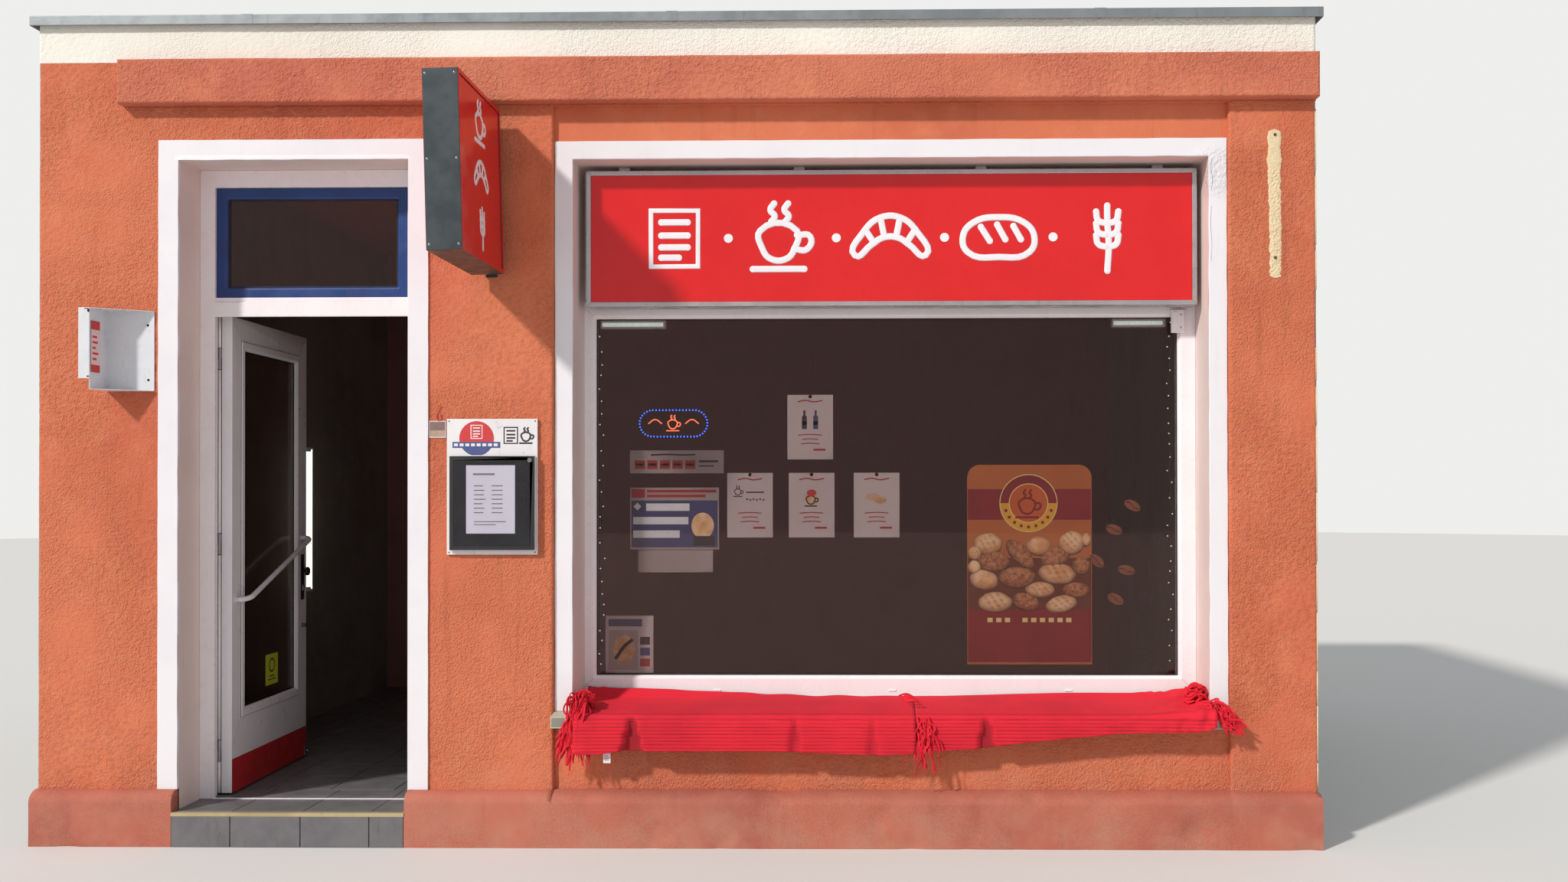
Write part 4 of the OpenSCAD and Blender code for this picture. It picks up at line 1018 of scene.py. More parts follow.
# gaskets beside the glass on both faces and round the leaf, in the leaf's own place and then turned open
bm = bmesh.new()
seal = 0.004
inX, inZ = (paneX[0] + bead - seal, paneX[1] - bead + seal), (paneZ[0] + bead - seal, paneZ[1] - bead + seal)
glassFace, glassBack = leafSet["face"] + 0.014, leafSet["face"] + 0.034
addFrame(bm, inX, inZ, glassFace, seal * 2, 0.003, 0, 0.0006)
addFrame(bm, inX, inZ, glassBack + 0.003, seal * 2, 0.003, 0, 0.0006)
addFrame(bm, (paneX[0] - 0.0015, paneX[1] + 0.0015), (paneZ[0] - 0.0015, paneZ[1] + 0.0015), leafSet["face"], 0.003,
         0.0012, 0)
finishOnLeaf(bm, "LeafGaskets", (gasketMat,))

# welded mitres of the plastic profile, as fine grooves' shadow lines on the leaf's outer face
bm = bmesh.new()
for x, across in ((leafX0, 1), (leafX1, -1)):
    for z, down in ((leafSet["z"] + leafSet["tall"], -1), (leafSet["z"] + 0.225, 1)):
        addMitre(bm, x, z, (across, down), (0.002, leafSet["stile"]), leafSet["face"])
finishOnLeaf(bm, "LeafMitres", (shadowLineMat,))

# sealing brush under the leaf, a lime sticker on the pane, and the holder plate at the free lower corner
bm = bmesh.new()
addBlock(bm, (leafX0 + 0.01, leafSet["face"] + 0.018, leafSet["z"] - 0.006),
         (leafX1 - 0.01, leafSet["face"] + 0.026, leafSet["z"] + 0.001), 0)
finishOnLeaf(bm, "LeafBrush", (gasketMat,))

bm = bmesh.new()
stickerX, stickerZ, stickerY = (0.42, 0.57), (0.591, 0.742), glassFace
addBlock(bm, (stickerX[0], stickerY - 0.0005, stickerZ[0]), (stickerX[1], stickerY, stickerZ[1]), 0, 0.0001, 1)
addDisc(bm, sum(stickerX) / 2, sum(stickerZ) / 2 + 0.02, 0.036, stickerY - 0.0004, 0.0004, 1)
addDisc(bm, sum(stickerX) / 2, sum(stickerZ) / 2 + 0.02, 0.026, stickerY - 0.0007, 0.0004, 0)
for k, wide in enumerate((0.045, 0.03)):
    addBlock(bm, (0.495 - wide, stickerY - 0.001, 0.614 + 0.016 * k),
             (0.495 + wide, stickerY - 0.0004, 0.620 + 0.016 * k), 1)
finishOnLeaf(bm, "PaneSticker", (stickerMat, inkDarkMat))

bm = bmesh.new()
addBlock(bm, (leafX1 - 0.030, leafSet["face"] - 0.0045, leafSet["z"] + 0.004),
         (leafX1 - 0.008, leafSet["face"] - 0.001, leafSet["z"] + 0.05), 0, 0.001, 2)
addPeg(bm, (leafX1 - 0.019, leafSet["face"] - 0.020, leafSet["z"] + 0.026),
       (leafX1 - 0.019, leafSet["face"] - 0.004, leafSet["z"] + 0.026), 0.006, 16, 0)
finishOnLeaf(bm, "LeafHolder", (steelMat,))

smoothCopy("pull_handle", "PullBar", barMat, 0, doorBody)
smoothCopy("door_lock", "LockSet", lockMat, 0.0012, doorBody)
smoothCopy("door_hinges_leaf", "LeafHinges", steelMat, 0.0006, doorBody)
smoothCopy("door_hinges_frame", "FrameHinges", steelMat, 0.0006, groundBody)
bm = bmesh.new()
for low, high in ((0.163, 0.306), (0.408, 1.255), (1.357, 2.108), (2.210, 2.352)):
    addPeg(bm, (*leafSet["pin"], low), (*leafSet["pin"], high), 0.0068, 16, 0)
finishPiece(bm, "HingeSideBead", (whiteMat,))

# screws and key cylinder on the lock plate, and the latch's small knob below it
bm = bmesh.new()
plateX, plateZ, plateY = leafX1 - 0.056, leafSet["z"] + 0.941, leafSet["face"]
for dz in (-0.105, 0.105):
    addScrew(bm, (plateX, plateY - 0.003, plateZ + dz), 0.004, 0)
addPeg(bm, (plateX, plateY - 0.010, plateZ - 0.045), (plateX, plateY - 0.002, plateZ - 0.045), 0.0085, 20, 0)
addBlock(bm, (plateX - 0.0085, plateY - 0.0098, plateZ - 0.070), (plateX + 0.0085, plateY - 0.002, plateZ - 0.048), 0,
         0.002, 2)
latchZ = plateZ - 0.251
addPeg(bm, (plateX, plateY - 0.003, latchZ), (plateX, plateY + 0.0004, latchZ), 0.013, 24, 0)
addPeg(bm, (plateX, plateY - 0.012, latchZ), (plateX, plateY - 0.003, latchZ), 0.0055, 16, 0)
addPeg(bm, (plateX, plateY - 0.019, latchZ), (plateX, plateY - 0.011, latchZ), 0.0105, 24, 0, 0.0085)
finishOnLeaf(bm, "LockFittings", (steelMat, holeShadeAndChipMat), 40)

# frame gaskets: in the door frame's rebate, round the fanlight and round the shop window's glass
sashLow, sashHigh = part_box("transom_sash")
bm = bmesh.new()
addFrame(bm, (sashLow.x - 0.002, sashHigh.x + 0.002), (sashLow.z - 0.002, sashHigh.z + 0.002), sashLow.y + 0.004, 0.004,
         0.002, 0)
addFrame(bm, (sashLow.x + 0.050, sashHigh.x - 0.050), (sashLow.z + 0.046, sashHigh.z - 0.050), sashLow.y + 0.0125,
         0.007, 0.003, 0, 0.0006)
paneLow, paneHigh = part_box("window_glass")
glassX, glassZ = (paneLow.x + 0.014, paneHigh.x - 0.014), (paneLow.z + 0.014, paneHigh.z - 0.014)
addFrame(bm, (glassX[0] - 0.001, glassX[1] + 0.001), (glassZ[0] - 0.001, glassZ[1] + 0.001), paneLow.y + 0.0002, 0.006,
         0.004, 0, 0.0008)
finishPiece(bm, "FrameGaskets", (gasketMat,))
print("door made")

# Window frame details: drainage caps, mitres and the clip on the head
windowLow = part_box("window_frame")[0]
bm = bmesh.new()
for x in (0.15, 0.95, 1.75):
    addBlock(bm, (x, windowLow.y - 0.003, 0.632), (x + 0.034, windowLow.y + 0.001, 0.641), 0, 0.0015, 2)
addBlock(bm, (2.235, windowLow.y - 0.016, 2.263), (2.296, windowLow.y + 0.001, 2.370), 0, 0.004, 2)
addBlock(bm, (2.243, windowLow.y - 0.020, 2.300), (2.262, windowLow.y - 0.014, 2.360), 0, 0.002, 2)
addScrew(bm, (2.279, windowLow.y - 0.016, 2.345), 0.004, 1)
addScrew(bm, (2.279, windowLow.y - 0.016, 2.288), 0.004, 1)
finishPiece(bm, "WindowFittings", (whiteMat, steelMat, holeShadeAndChipMat))
bm = bmesh.new()
for x, across in zip(glassX, (-1, 1)):
    for z, up in zip(glassZ, (-1, 1)):
        addMitre(bm, x, z, (across, up), (0.014, 0.052), windowLow.y)
finishPiece(bm, "WindowMitres", (shadowLineMat,))

# stone sill with chipped arrises
sillBm = copyOf("window_sill")
sliceUp(sillBm, 0, 0.05)
for v in sillBm.verts:
    chip = max(0.0, noise.noise(v.co * 13) - 0.3) * 0.012
    if v.co.y < -2.05:
        v.co.y += chip + 0.0006 * (0.5 + 0.5 * noise.noise(v.co * 30))
sill = finishPiece(faceOut(sillBm), "StoneSill", (stoneMat,), ("window_sill",), 40)
softenEdges(sill, 0.003, 40)
sillLow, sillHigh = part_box("window_sill")
bm = bmesh.new()
for x0, x1 in ((sillLow.x, windowX[0] - 0.012), (windowX[1] + 0.012, sillHigh.x)):
    addFrame(bm, (x0, x1), (sillLow.z + 0.001, sillLow.z + 0.051), sillLow.y + 0.001, 0.005, 0.0012, 0, 0.0004)
    addBlock(bm, (x0 + 0.006, sillLow.y - 0.0001, sillLow.z + 0.007),
             (x1 - 0.006, sillLow.y + 0.0012, sillLow.z + 0.045), 1)
finishPiece(bm, "SillEnds", (stoneMat, sillEndMat))
print("window frame made")


# Fascia sign and bracket sign

dress("fascia_sign_case", aluMat, 0.003)
dress("fascia_sign_panel", redMat, 0.001)
signLow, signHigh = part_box("fascia_sign_panel")
fasciaSet = {"motifs": ("paper", "cup", "croissant", "loaf", "wheat"), "size": 0.33, "line": 0.030, "rise": 0.0015}
bm = bmesh.new()
middle = (signLow.z + signHigh.z) / 2
span = signHigh.x - signLow.x
for k, motif in enumerate(fasciaSet["motifs"]):
    x = signLow.x + span * (0.14 + 0.18 * k)
    addPictogram(bm, motif, x, middle, fasciaSet["size"], fasciaSet["line"], signLow.y, fasciaSet["rise"])
for k in range(4):
    x = signLow.x + span * (0.23 + 0.18 * k)
    addDisc(bm, x, middle, 0.020, signLow.y, fasciaSet["rise"], 0, 28)
finishPiece(faceOut(bm), "FasciaMotifs", (vinylMat,))

bm = bmesh.new()
caseLow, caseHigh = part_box("fascia_sign_case")
rim = 0.021
for x, across in ((caseLow.x, 1), (caseHigh.x, -1)):
    for z, up in ((signHigh.z + rim, -1), (signLow.z - rim, 1)):
        addMitre(bm, x, z, (across, up), (0.001, rim), caseLow.y, 0.0014)
finishPiece(bm, "FasciaMitres", (shadowLineMat,))

dress("bracket_sign_case", sheetMat, 0.002)
dress("bracket_sign_panels", redMat, 0.001)
bracketSet = {"place": (-0.805, -2.06, 2.846), "lean": -1.5, "wide": 0.142, "long": 0.610, "tall": 0.712,
              "motifs": ("cup", "croissant", "wheat"), "size": 0.19, "line": 0.020}
lean = Matrix.Translation(bracketSet["place"]) @ Matrix.Rotation(math.radians(bracketSet["lean"]), 4, "Y")
bm = bmesh.new()
for side in (-1, 1):
    part = bmesh.new()
    for k, motif in enumerate(bracketSet["motifs"]):
        addPictogram(part, motif, 0, 0.215 - 0.215 * k, bracketSet["size"], bracketSet["line"], 0, 0.0012)
    # the pictograms' plane is turned to face sideways, and set on the panel
    turn = Matrix.Translation((side * (bracketSet["wide"] / 2 - 0.004), -bracketSet["long"] / 2, 0))
    turn = turn @ Matrix.Rotation(math.radians(90 * side), 4, "Z")
    bmesh.ops.transform(part, matrix=lean @ turn, verts=part.verts)
    joinInto(bm, part)
finishPiece(faceOut(bm), "BracketMotifs", (vinylMat,))

# front edge cover with six screws, and the red returns on the sides
bm = bmesh.new()
front = -bracketSet["long"]
addBlock(bm, (-0.0705, front - 0.0018, -0.3555), (0.0705, front + 0.0002, 0.3555), 0, 0.0006, 1)
for x in (-0.058, 0.058):
    for z in (-0.335, 0.0, 0.335):
        addScrew(bm, (x, front - 0.002, z), 0.0062, 1)
bmesh.ops.transform(bm, matrix=lean, verts=bm.verts)
finishPiece(bm, "BracketCover", (sheetMat, steelMat, holeShadeAndChipMat))
bm = bmesh.new()
for side in (-1, 1):
    rim, half, tall = 0.0165, bracketSet["wide"] / 2, bracketSet["tall"] / 2
    # two uprights, then the lower and upper bars between them
    for y0, y1, z0, z1 in ((front, front + rim, -tall, tall), (-rim, 0, -tall, tall),
                           (front + rim, -rim, -tall, rim - tall), (front + rim, -rim, tall - rim, tall)):
        for v in addBlock(bm, (0, y0, z0), (0.0006, y1, z1)):
            v.co.x = side * (half + v.co.x)
faceOut(bm)
bmesh.ops.transform(bm, matrix=lean, verts=bm.verts)
finishPiece(bm, "BracketRims", (redMat,))
print("signs made")


# Notice board with its locked case

dress("notice_board", boardMat, 0.0015)
flat = dress("notice_case", caseMat).modifiers.new("Flat", "DECIMATE")
flat.decimate_type, flat.angle_limit = "DISSOLVE", math.radians(1)
easeEdges("notice_case", 0.0025)
boardLow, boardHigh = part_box("notice_board")
caseLow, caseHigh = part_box("notice_case")
bm = bmesh.new()
y = boardLow.y
# the header's generic motif, a disc in two colours behind a row of blocks, and two large pictograms beside it
motifX, motifZ, motifRadius = -0.8587, 1.779, 0.076
for split, way, material in ((1.762, -1, 0), (1.740, 1, 2)):
    addHalfDisc(bm, motifX, motifZ, motifRadius, y, 0.0008, material, split, way)
addBlock(bm, (motifX - 0.106, y - 0.0016, 1.738), (motifX + 0.104, y + 0.0002, 1.764), 2, 0.0004, 1)
for k in range(8):
    addBlock(bm, (motifX - 0.099 + k * 0.0250, y - 0.0020, 1.745), (motifX - 0.082 + k * 0.0250, y - 0.0012, 1.757), 1)
addPictogram(bm, "paper", motifX, 1.808, 0.076, 0.0060, y - 0.0006, 0.0006, 1)
addPictogram(bm, "paper", -0.708, 1.792, 0.092, 0.0080, y, 0.0006, 3)
addPictogram(bm, "cup", -0.638, 1.790, 0.076, 0.0078, y, 0.0006, 3)
for scratch in ([(-0.769, 1.829), (-0.763, 1.824), (-0.744, 1.836)], [(-0.653, 1.712), (-0.648, 1.722)],
                [(-0.776, 1.849), (-0.770, 1.851)]):
    addStroke(bm, scratch, 0.0012, y, 0.0004, 6)
for x in (boardLow.x + 0.010, boardHigh.x - 0.010):
    for z in (boardLow.z + 0.010, boardHigh.z - 0.010):
        addScrew(bm, (x, y, z), 0.004, 4)
lockX, lockZ = caseHigh.x - 0.018, caseHigh.z - 0.018
addPeg(bm, (lockX, caseLow.y - 0.0016, lockZ), (lockX, caseLow.y + 0.0002, lockZ), 0.0092, 28, 4, 0.0082)
addBlock(bm, (lockX - 0.0008, caseLow.y - 0.0019, lockZ - 0.004), (lockX + 0.0008, caseLow.y - 0.0014, lockZ + 0.004),
         5)
finishPiece(bm, "BoardPrint", (inkRedMat, boardMat, inkBlueMat, inkDarkMat, steelMat, holeShadeAndChipMat, inkGreyMat))

bm = bmesh.new()
y = caseLow.y
addFrame(bm, (caseLow.x - 0.004, caseHigh.x + 0.004), (caseLow.z - 0.004, caseHigh.z + 0.004), y + 0.022, 0.006, 0.006,
         0, 0.001)
finishPiece(bm, "CaseTrim", (boardMat,))
bm = bmesh.new()
caseIn = y + 0.005
addBlock(bm, (caseLow.x + 0.019, caseIn, caseLow.z + 0.019), (caseHigh.x - 0.019, caseIn + 0.0012, caseHigh.z - 0.019),
         0)
sheetX, sheetZ = (-0.897, -0.683), (1.363, 1.661)
addBlock(bm, (sheetX[0], caseIn - 0.0008, sheetZ[0]), (sheetX[1], caseIn, sheetZ[1]), 1)
addBlock(bm, (sheetX[0] + 0.030, caseIn - 0.0012, sheetZ[1] - 0.043),
         (sheetX[0] + 0.125, caseIn - 0.0007, sheetZ[1] - 0.035), 2)
for k, wide in enumerate((0.040, 0.046, 0.044, 0.052, 0.038, 0.046, 0.042)):
    z = sheetZ[1] - 0.092 - k * 0.0195
    for left, right in ((0.034, 0.034 + wide), (0.112, 0.160)):
        addBlock(bm, (sheetX[0] + left, caseIn - 0.0012, z), (sheetX[0] + right, caseIn - 0.0007, z + 0.0045), 2)
for k, wide in enumerate((0.140, 0.096)):
    z = sheetZ[0] + 0.050 - k * 0.013
    addBlock(bm, (sheetX[0] + 0.034, caseIn - 0.0012, z), (sheetX[0] + 0.034 + wide, caseIn - 0.0007, z + 0.004), 2)
finishPiece(bm, "CaseNotice", (feltBackMat, officeMat, inkGreyMat))
bm = bmesh.new()
addBlock(bm, (caseLow.x + 0.0175, y + 0.002, caseLow.z + 0.0175),
         (caseHigh.x - 0.0175, y + 0.0035, caseHigh.z - 0.0175), 0)
finishPiece(bm, "CasePane", (paneMat,))

# faded label beside the board with a scribble above it
bm = bmesh.new()
addBlock(bm, (-1.073, frontY - 0.0012, 1.782), (-0.997, frontY + 0.004, 1.858), 0, 0.0003, 1)
addBlock(bm, (-1.068, frontY - 0.0016, 1.815), (-1.001, frontY - 0.001, 1.852), 1)
addBlock(bm, (-1.068, frontY - 0.0016, 1.789), (-1.001, frontY - 0.001, 1.815), 3)
scribble = [(-1.020, 1.922), (-1.031, 1.896), (-1.035, 1.870), (-1.027, 1.856), (-1.017, 1.866), (-1.021, 1.886)]
addStroke(bm, scribble, 0.0024, frontY - 0.0012, 0.0016, 2)
finishPiece(bm, "WallLabel", (newsMat, fadedMat, inkRedMat, fadedLowMat))

dress("wall_rack", rackMat, 0.0012)
rackLow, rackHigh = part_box("wall_rack")
bm = bmesh.new()
flangeY = rackLow.y
# the faded label on the inner side of the box, and chipped paint at its fold
sideX = rackLow.x + 0.0515
for z0, z1, material in ((2.066, 2.098, 2), (2.098, 2.250, 1), (2.250, 2.288, 2)):
    addBlock(bm, (sideX - 0.0004, flangeY + 0.010, z0), (sideX + 0.0006, flangeY + 0.074, z1), material)
for k, run in enumerate((0.030, 0.044, 0.024, 0.040, 0.034)):
    addBlock(bm, (sideX, flangeY + 0.018, 2.118 + k * 0.024),
             (sideX + 0.0010, flangeY + 0.018 + run, 2.128 + k * 0.024), 2)
for x, z in ((-2.318, 2.281), (-2.315, 2.040)):
    addDisc(bm, x, z, 0.0055, rackHigh.y - 0.0028, 0.0008, 3, 16)
for x, z, w, h in ((rackLow.x + 0.044, 2.330, 0.010, 0.016), (rackLow.x + 0.036, 2.338, 0.020, 0.004),
                   (rackLow.x + 0.042, 2.046, 0.012, 0.006)):
    addDisc(bm, x, z, w / 2, flangeY, 0.0006, 3, 10, h / w)
finishPiece(bm, "RackDetails", (inkDarkMat, paleRedMat, inkRedMat, holeShadeAndChipMat))
print("notice board and rack made")


# Papers on the inside of the glass

backY = paneHigh.y
papers = {
    "SheetCup": (0.209, 1.333, 0.210, 0.297), "SheetDrink": (0.493, 1.333, 0.210, 0.297),
    "SheetPastry": (0.792, 1.333, 0.210, 0.297), "SheetBottles": (0.487, 1.692, 0.210, 0.297),
    "SheetHeader": (-0.240, 1.629, 0.433, 0.106), "SheetNews": (-0.239, 1.278, 0.410, 0.285),
    "SheetFaded": (-0.202, 1.173, 0.345, 0.102), "SheetMagazine": (-0.353, 0.710, 0.221, 0.263),
}


def addPaper(bm, x, z, wide, tall):
    # a sheet whose corners lift a little from the glass
    made = standGrid(bm, (x, x + wide), (z, z + tall), backY + 0.0006, (12, 14))
    for v in made:
        u, w = (v.co.x - x) / wide * 2 - 1, (v.co.z - z) / tall * 2 - 1
        corner = max(0.0, abs(u) + abs(w) - 1.55) / 0.45
        ripple = 0.6 + 0.4 * noise.noise(Vector((x * 7 + u, w, z * 5)))
        v.co.y += 0.010 * corner * corner * ripple + 0.0006 * abs(noise.noise(v.co * 12))
    rear = bmesh.ops.extrude_face_region(bm, geom=list({f for v in made for f in v.link_faces}))["geom"]
    for v in (g for g in rear if isinstance(g, bmesh.types.BMVert)):
        v.co.y += 0.00035


def printLine(bm, x, z, wide, tall, material):
    addBlock(bm, (x, backY + 0.00015, z), (x + wide, backY + 0.0005, z + tall), material)


inkY = backY + 0.0005
for name, (x, z, wide, tall) in papers.items():
    bm = bmesh.new()
    addPaper(bm, x, z, wide, tall)
    if name in ("SheetCup", "SheetDrink", "SheetPastry", "SheetBottles"):
        # a red heading, a picture, and small red lines with a price bar
        addStroke(bm, [(x + 0.050, z + 0.266), (x + 0.085, z + 0.272), (x + 0.120, z + 0.265), (x + 0.160, z + 0.271)],
                  0.0055, inkY, 0.0002, 1)
        if name == "SheetBottles":
            for k, tone in enumerate((2, 4)):
                bx = x + 0.078 + k * 0.052
                addBlock(bm, (bx - 0.011, inkY - 0.0003, z + 0.140), (bx + 0.011, inkY, z + 0.200), tone, 0.0001, 1)
                addBlock(bm, (bx - 0.005, inkY - 0.0003, z + 0.198), (bx + 0.005, inkY, z + 0.226), tone)
                addBlock(bm, (bx - 0.011, inkY - 0.0005, z + 0.158), (bx + 0.011, inkY - 0.0002, z + 0.176), 5)
        elif name == "SheetDrink":
            addDisc(bm, x + 0.105, z + 0.178, 0.030, inkY, 0.0003, 3, 28)
            addDisc(bm, x + 0.105, z + 0.205, 0.022, inkY - 0.0003, 0.0003, 1, 24, 0.7)
            addPictogram(bm, "cup", x + 0.105, z + 0.176, 0.075, 0.006, inkY - 0.0004, 0.0002, 2)
        elif name == "SheetPastry":
            for k, (dx, dz, r) in enumerate(((0.088, 0.186, 0.030), (0.122, 0.172, 0.028))):
                addDisc(bm, x + dx, z + dz, r, inkY - 0.0001 * k, 0.0003, 3, 28, 0.62)
            addStroke(bm, [(x + 0.068, z + 0.192), (x + 0.100, z + 0.200), (x + 0.140, z + 0.176)], 0.004,
                      inkY - 0.0004, 0.0002, 5)
        else:
            addPictogram(bm, "cup", x + 0.052, z + 0.212, 0.055, 0.004, inkY, 0.0002, 2)
            for k in range(6):
                addDisc(bm, x + 0.092 + 0.015 * k, z + 0.176 - 0.003 * (k % 2), 0.0052, inkY, 0.0003, 2, 12, 0.7)
            printLine(bm, x + 0.088, z + 0.205, 0.082, 0.006, 2)
        for k, (dx, w) in enumerate(((0.052, 0.105), (0.070, 0.070), (0.064, 0.082))):
            level = z + 0.112 - k * 0.020
            line = [(x + dx, level), (x + dx + w * 0.5, level + 0.003), (x + dx + w, level)]
            addStroke(bm, line, 0.0045, inkY, 0.0002, 1)
        printLine(bm, x + 0.120, z + 0.040, 0.055, 0.009, 1)
        addDisc(bm, x + 0.105, z + tall - 0.008, 0.008, backY + 0.0004, 0.0004, 6, 20)
    elif name == "SheetHeader":
        addStroke(bm, [(x + 0.100, z + 0.085), (x + 0.180, z + 0.087), (x + 0.240, z + 0.084), (x + 0.300, z + 0.086)],
                  0.007, inkY, 0.0002, 2)
        for k in range(5):
            printLine(bm, x + 0.022 + k * 0.058, z + 0.020, 0.048, 0.040, 1)
            printLine(bm, x + 0.028 + k * 0.058, z + 0.034, 0.036, 0.012, 0)
        printLine(bm, x + 0.318, z + 0.050, 0.090, 0.010, 2)
        printLine(bm, x + 0.318, z + 0.030, 0.070, 0.007, 4)
    elif name == "SheetNews":
        printLine(bm, x + 0.006, z + 0.238, 0.062, 0.040, 1)
        for k, w in enumerate((0.320, 0.270)):
            printLine(bm, x + 0.078, z + 0.262 - k * 0.022, w, 0.013, 1)
        addBlock(bm, (x + 0.006, inkY - 0.0003, z + 0.010), (x + 0.404, inkY, z + 0.226), 4)
        for k, w in enumerate((0.200, 0.255, 0.215)):
            left, low = x + (0.074 if k == 0 else 0.014), z + 0.178 - k * 0.062
            printLine(bm, left, low, w, 0.034, 5)
            addBlock(bm, (left, inkY - 0.0006, low), (left + w, inkY - 0.0003, low + 0.034), 5)
        addDisc(bm, x + 0.335, z + 0.110, 0.052, inkY - 0.0004, 0.0003, 3, 28, 1.15)
        addBlock(bm, (x + 0.292, inkY - 0.0008, z + 0.018), (x + 0.392, inkY - 0.0004, z + 0.062), 2)
        addDisc(bm, x + 0.034, z + 0.198, 0.018, inkY - 0.0004, 0.0003, 5, 4)
    elif name == "SheetFaded":
        for k in range(3):
            addBlock(bm, (x + 0.02, inkY - 0.0002, z + 0.022 + k * 0.024),
                     (x + 0.02 + (0.26, 0.30, 0.22)[k], inkY, z + 0.032 + k * 0.024), 5)
    else:
        printLine(bm, x + 0.014, z + 0.214, 0.155, 0.034, 4)
        addBlock(bm, (x + 0.014, inkY - 0.0003, z + 0.014), (x + 0.150, inkY, z + 0.196), 5)
        addDisc(bm, x + 0.085, z + 0.110, 0.050, inkY - 0.0003, 0.0003, 3, 28, 1.3)
        addStroke(bm, [(x + 0.050, z + 0.070), (x + 0.085, z + 0.120), (x + 0.120, z + 0.150)], 0.016, inkY - 0.0006,
                  0.0002, 2)
        for k in range(3):
            addBlock(bm, (x + 0.160, inkY - 0.0003, z + 0.030 + k * 0.050), (x + 0.205, inkY, z + 0.066 + k * 0.050),
                     (1, 4, 2)[k])
    faceOut(bm)
    base = newsMat if name in ("SheetNews", "SheetFaded", "SheetHeader") else paperMat
    panel = vinylMat if name == "SheetNews" else newsMat
    finishPiece(bm, name, (base, inkRedMat, inkDarkMat, crustMat, inkBlueMat, panel, tapeMat),
                ("window_papers",) if name == "SheetNews" else ())
print("papers made")


# Display board with bread rolls behind the glass

displayLow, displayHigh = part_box("display_board")
displaySet = {"round": 0.060, "band": (0.662, 0.803), "emblem": 0.133}
bm = bmesh.new()
made = addBlock(bm, displayLow, displayHigh, 0)
corners = [e for e in {e for v in made for e in v.link_edges} if abs(e.verts[0].co.y - e.verts[1].co.y) > 0.001
           and e.verts[0].co.z > displayHigh.z - 0.01]
bmesh.ops.bevel(bm, geom=corners, offset=displaySet["round"], affect="EDGES", segments=10, profile=0.5, material=-1)
faceY = displayLow.y
for face in bm.faces:
    if face.normal.y < -0.9:
        bmesh.ops.inset_region(bm, faces=[face], thickness=0.004, depth=-0.0006)
        break
bandZ = [displayLow.z + v for v in displaySet["band"]]
# the last block is dark painted shade behind and between the rolls
for low, high, material in ((*bandZ, 2), (displayLow.z + 0.010, displayHigh.z - 0.665, 2),
                            (displayHigh.z - 0.665, displayHigh.z - 0.428, 6)):
    addBlock(bm, (displayLow.x + 0.003, faceY - 0.0009, low), (displayHigh.x - 0.003, faceY + 0.001, high), material)
for k in range(10):
    if k != 3:
        dashX = displayLow.x + 0.092 + k * 0.040
        addBlock(bm, (dashX, faceY - 0.0014, displayHigh.z - 0.722), (dashX + 0.024, faceY, displayHigh.z - 0.702), 3)
emblemX, emblemZ, size = (displayLow.x + displayHigh.x) / 2 - 0.004, sum(bandZ) / 2 + 0.006, displaySet["emblem"]
for share, rise, material in ((1.0, 0.0004, 1), (0.97, 0.0010, 2), (0.68, 0.0022, 1), (0.65, 0.0028, 5)):
    addDisc(bm, emblemX, emblemZ, size * share, faceY - rise, 0.0008, material, 56)
addHalfDisc(bm, emblemX, emblemZ, size * 0.97, faceY - 0.0016, 0.0008, 4, emblemZ, 1)
addPictogram(bm, "cup", emblemX, emblemZ - 0.006, 0.140, 0.011, faceY - 0.0031, 0.0016, 2)
for k in range(9):
    turn = math.radians(198 + 18 * k)
    spot = (emblemX + size * 0.82 * math.cos(turn), emblemZ + size * 0.82 * math.sin(turn))
    addDisc(bm, *spot, 0.0075, faceY - 0.0024, 0.0006, 2, 14)
finishPiece(faceOut(bm), "DisplayCard", (cardMat, creamMat, wineMat, creamMat, yellowMat, emblemMat, rollGapShadeMat),
            ("display_board",))

bm = bmesh.new()
hollow = bm.verts.layers.float.new("hollow")
# each roll: middle from the card's upper left corner, half width, half height, turn, and whether it is seeded
rolls = ((0.545, 0.345, 0.022, 0.032, 0.0, 0), (0.096, 0.365, 0.066, 0.050, 0.0, 0),
         (0.479, 0.360, 0.060, 0.054, -0.3, 0), (0.328, 0.374, 0.057, 0.044, 0.0, 0),
         (0.034, 0.406, 0.031, 0.032, 0.0, 0), (0.242, 0.411, 0.084, 0.040, 0.8, 1),
         (0.402, 0.424, 0.068, 0.046, -0.3, 1), (0.119, 0.447, 0.075, 0.047, 0.0, 1),
         (0.522, 0.465, 0.043, 0.041, 0.1, 1), (0.033, 0.470, 0.030, 0.032, 0.0, 0),
         (0.411, 0.500, 0.086, 0.050, 0.1, 0), (0.228, 0.518, 0.086, 0.050, 0.0, 1),
         (0.076, 0.529, 0.066, 0.047, 0.2, 0), (0.333, 0.574, 0.068, 0.036, 0.0, 0),
         (0.500, 0.576, 0.064, 0.036, 0.0, 1), (0.268, 0.630, 0.064, 0.040, 0.3, 1),
         (0.432, 0.640, 0.074, 0.040, -0.2, 0), (0.128, 0.632, 0.078, 0.048, 0.0, 0))
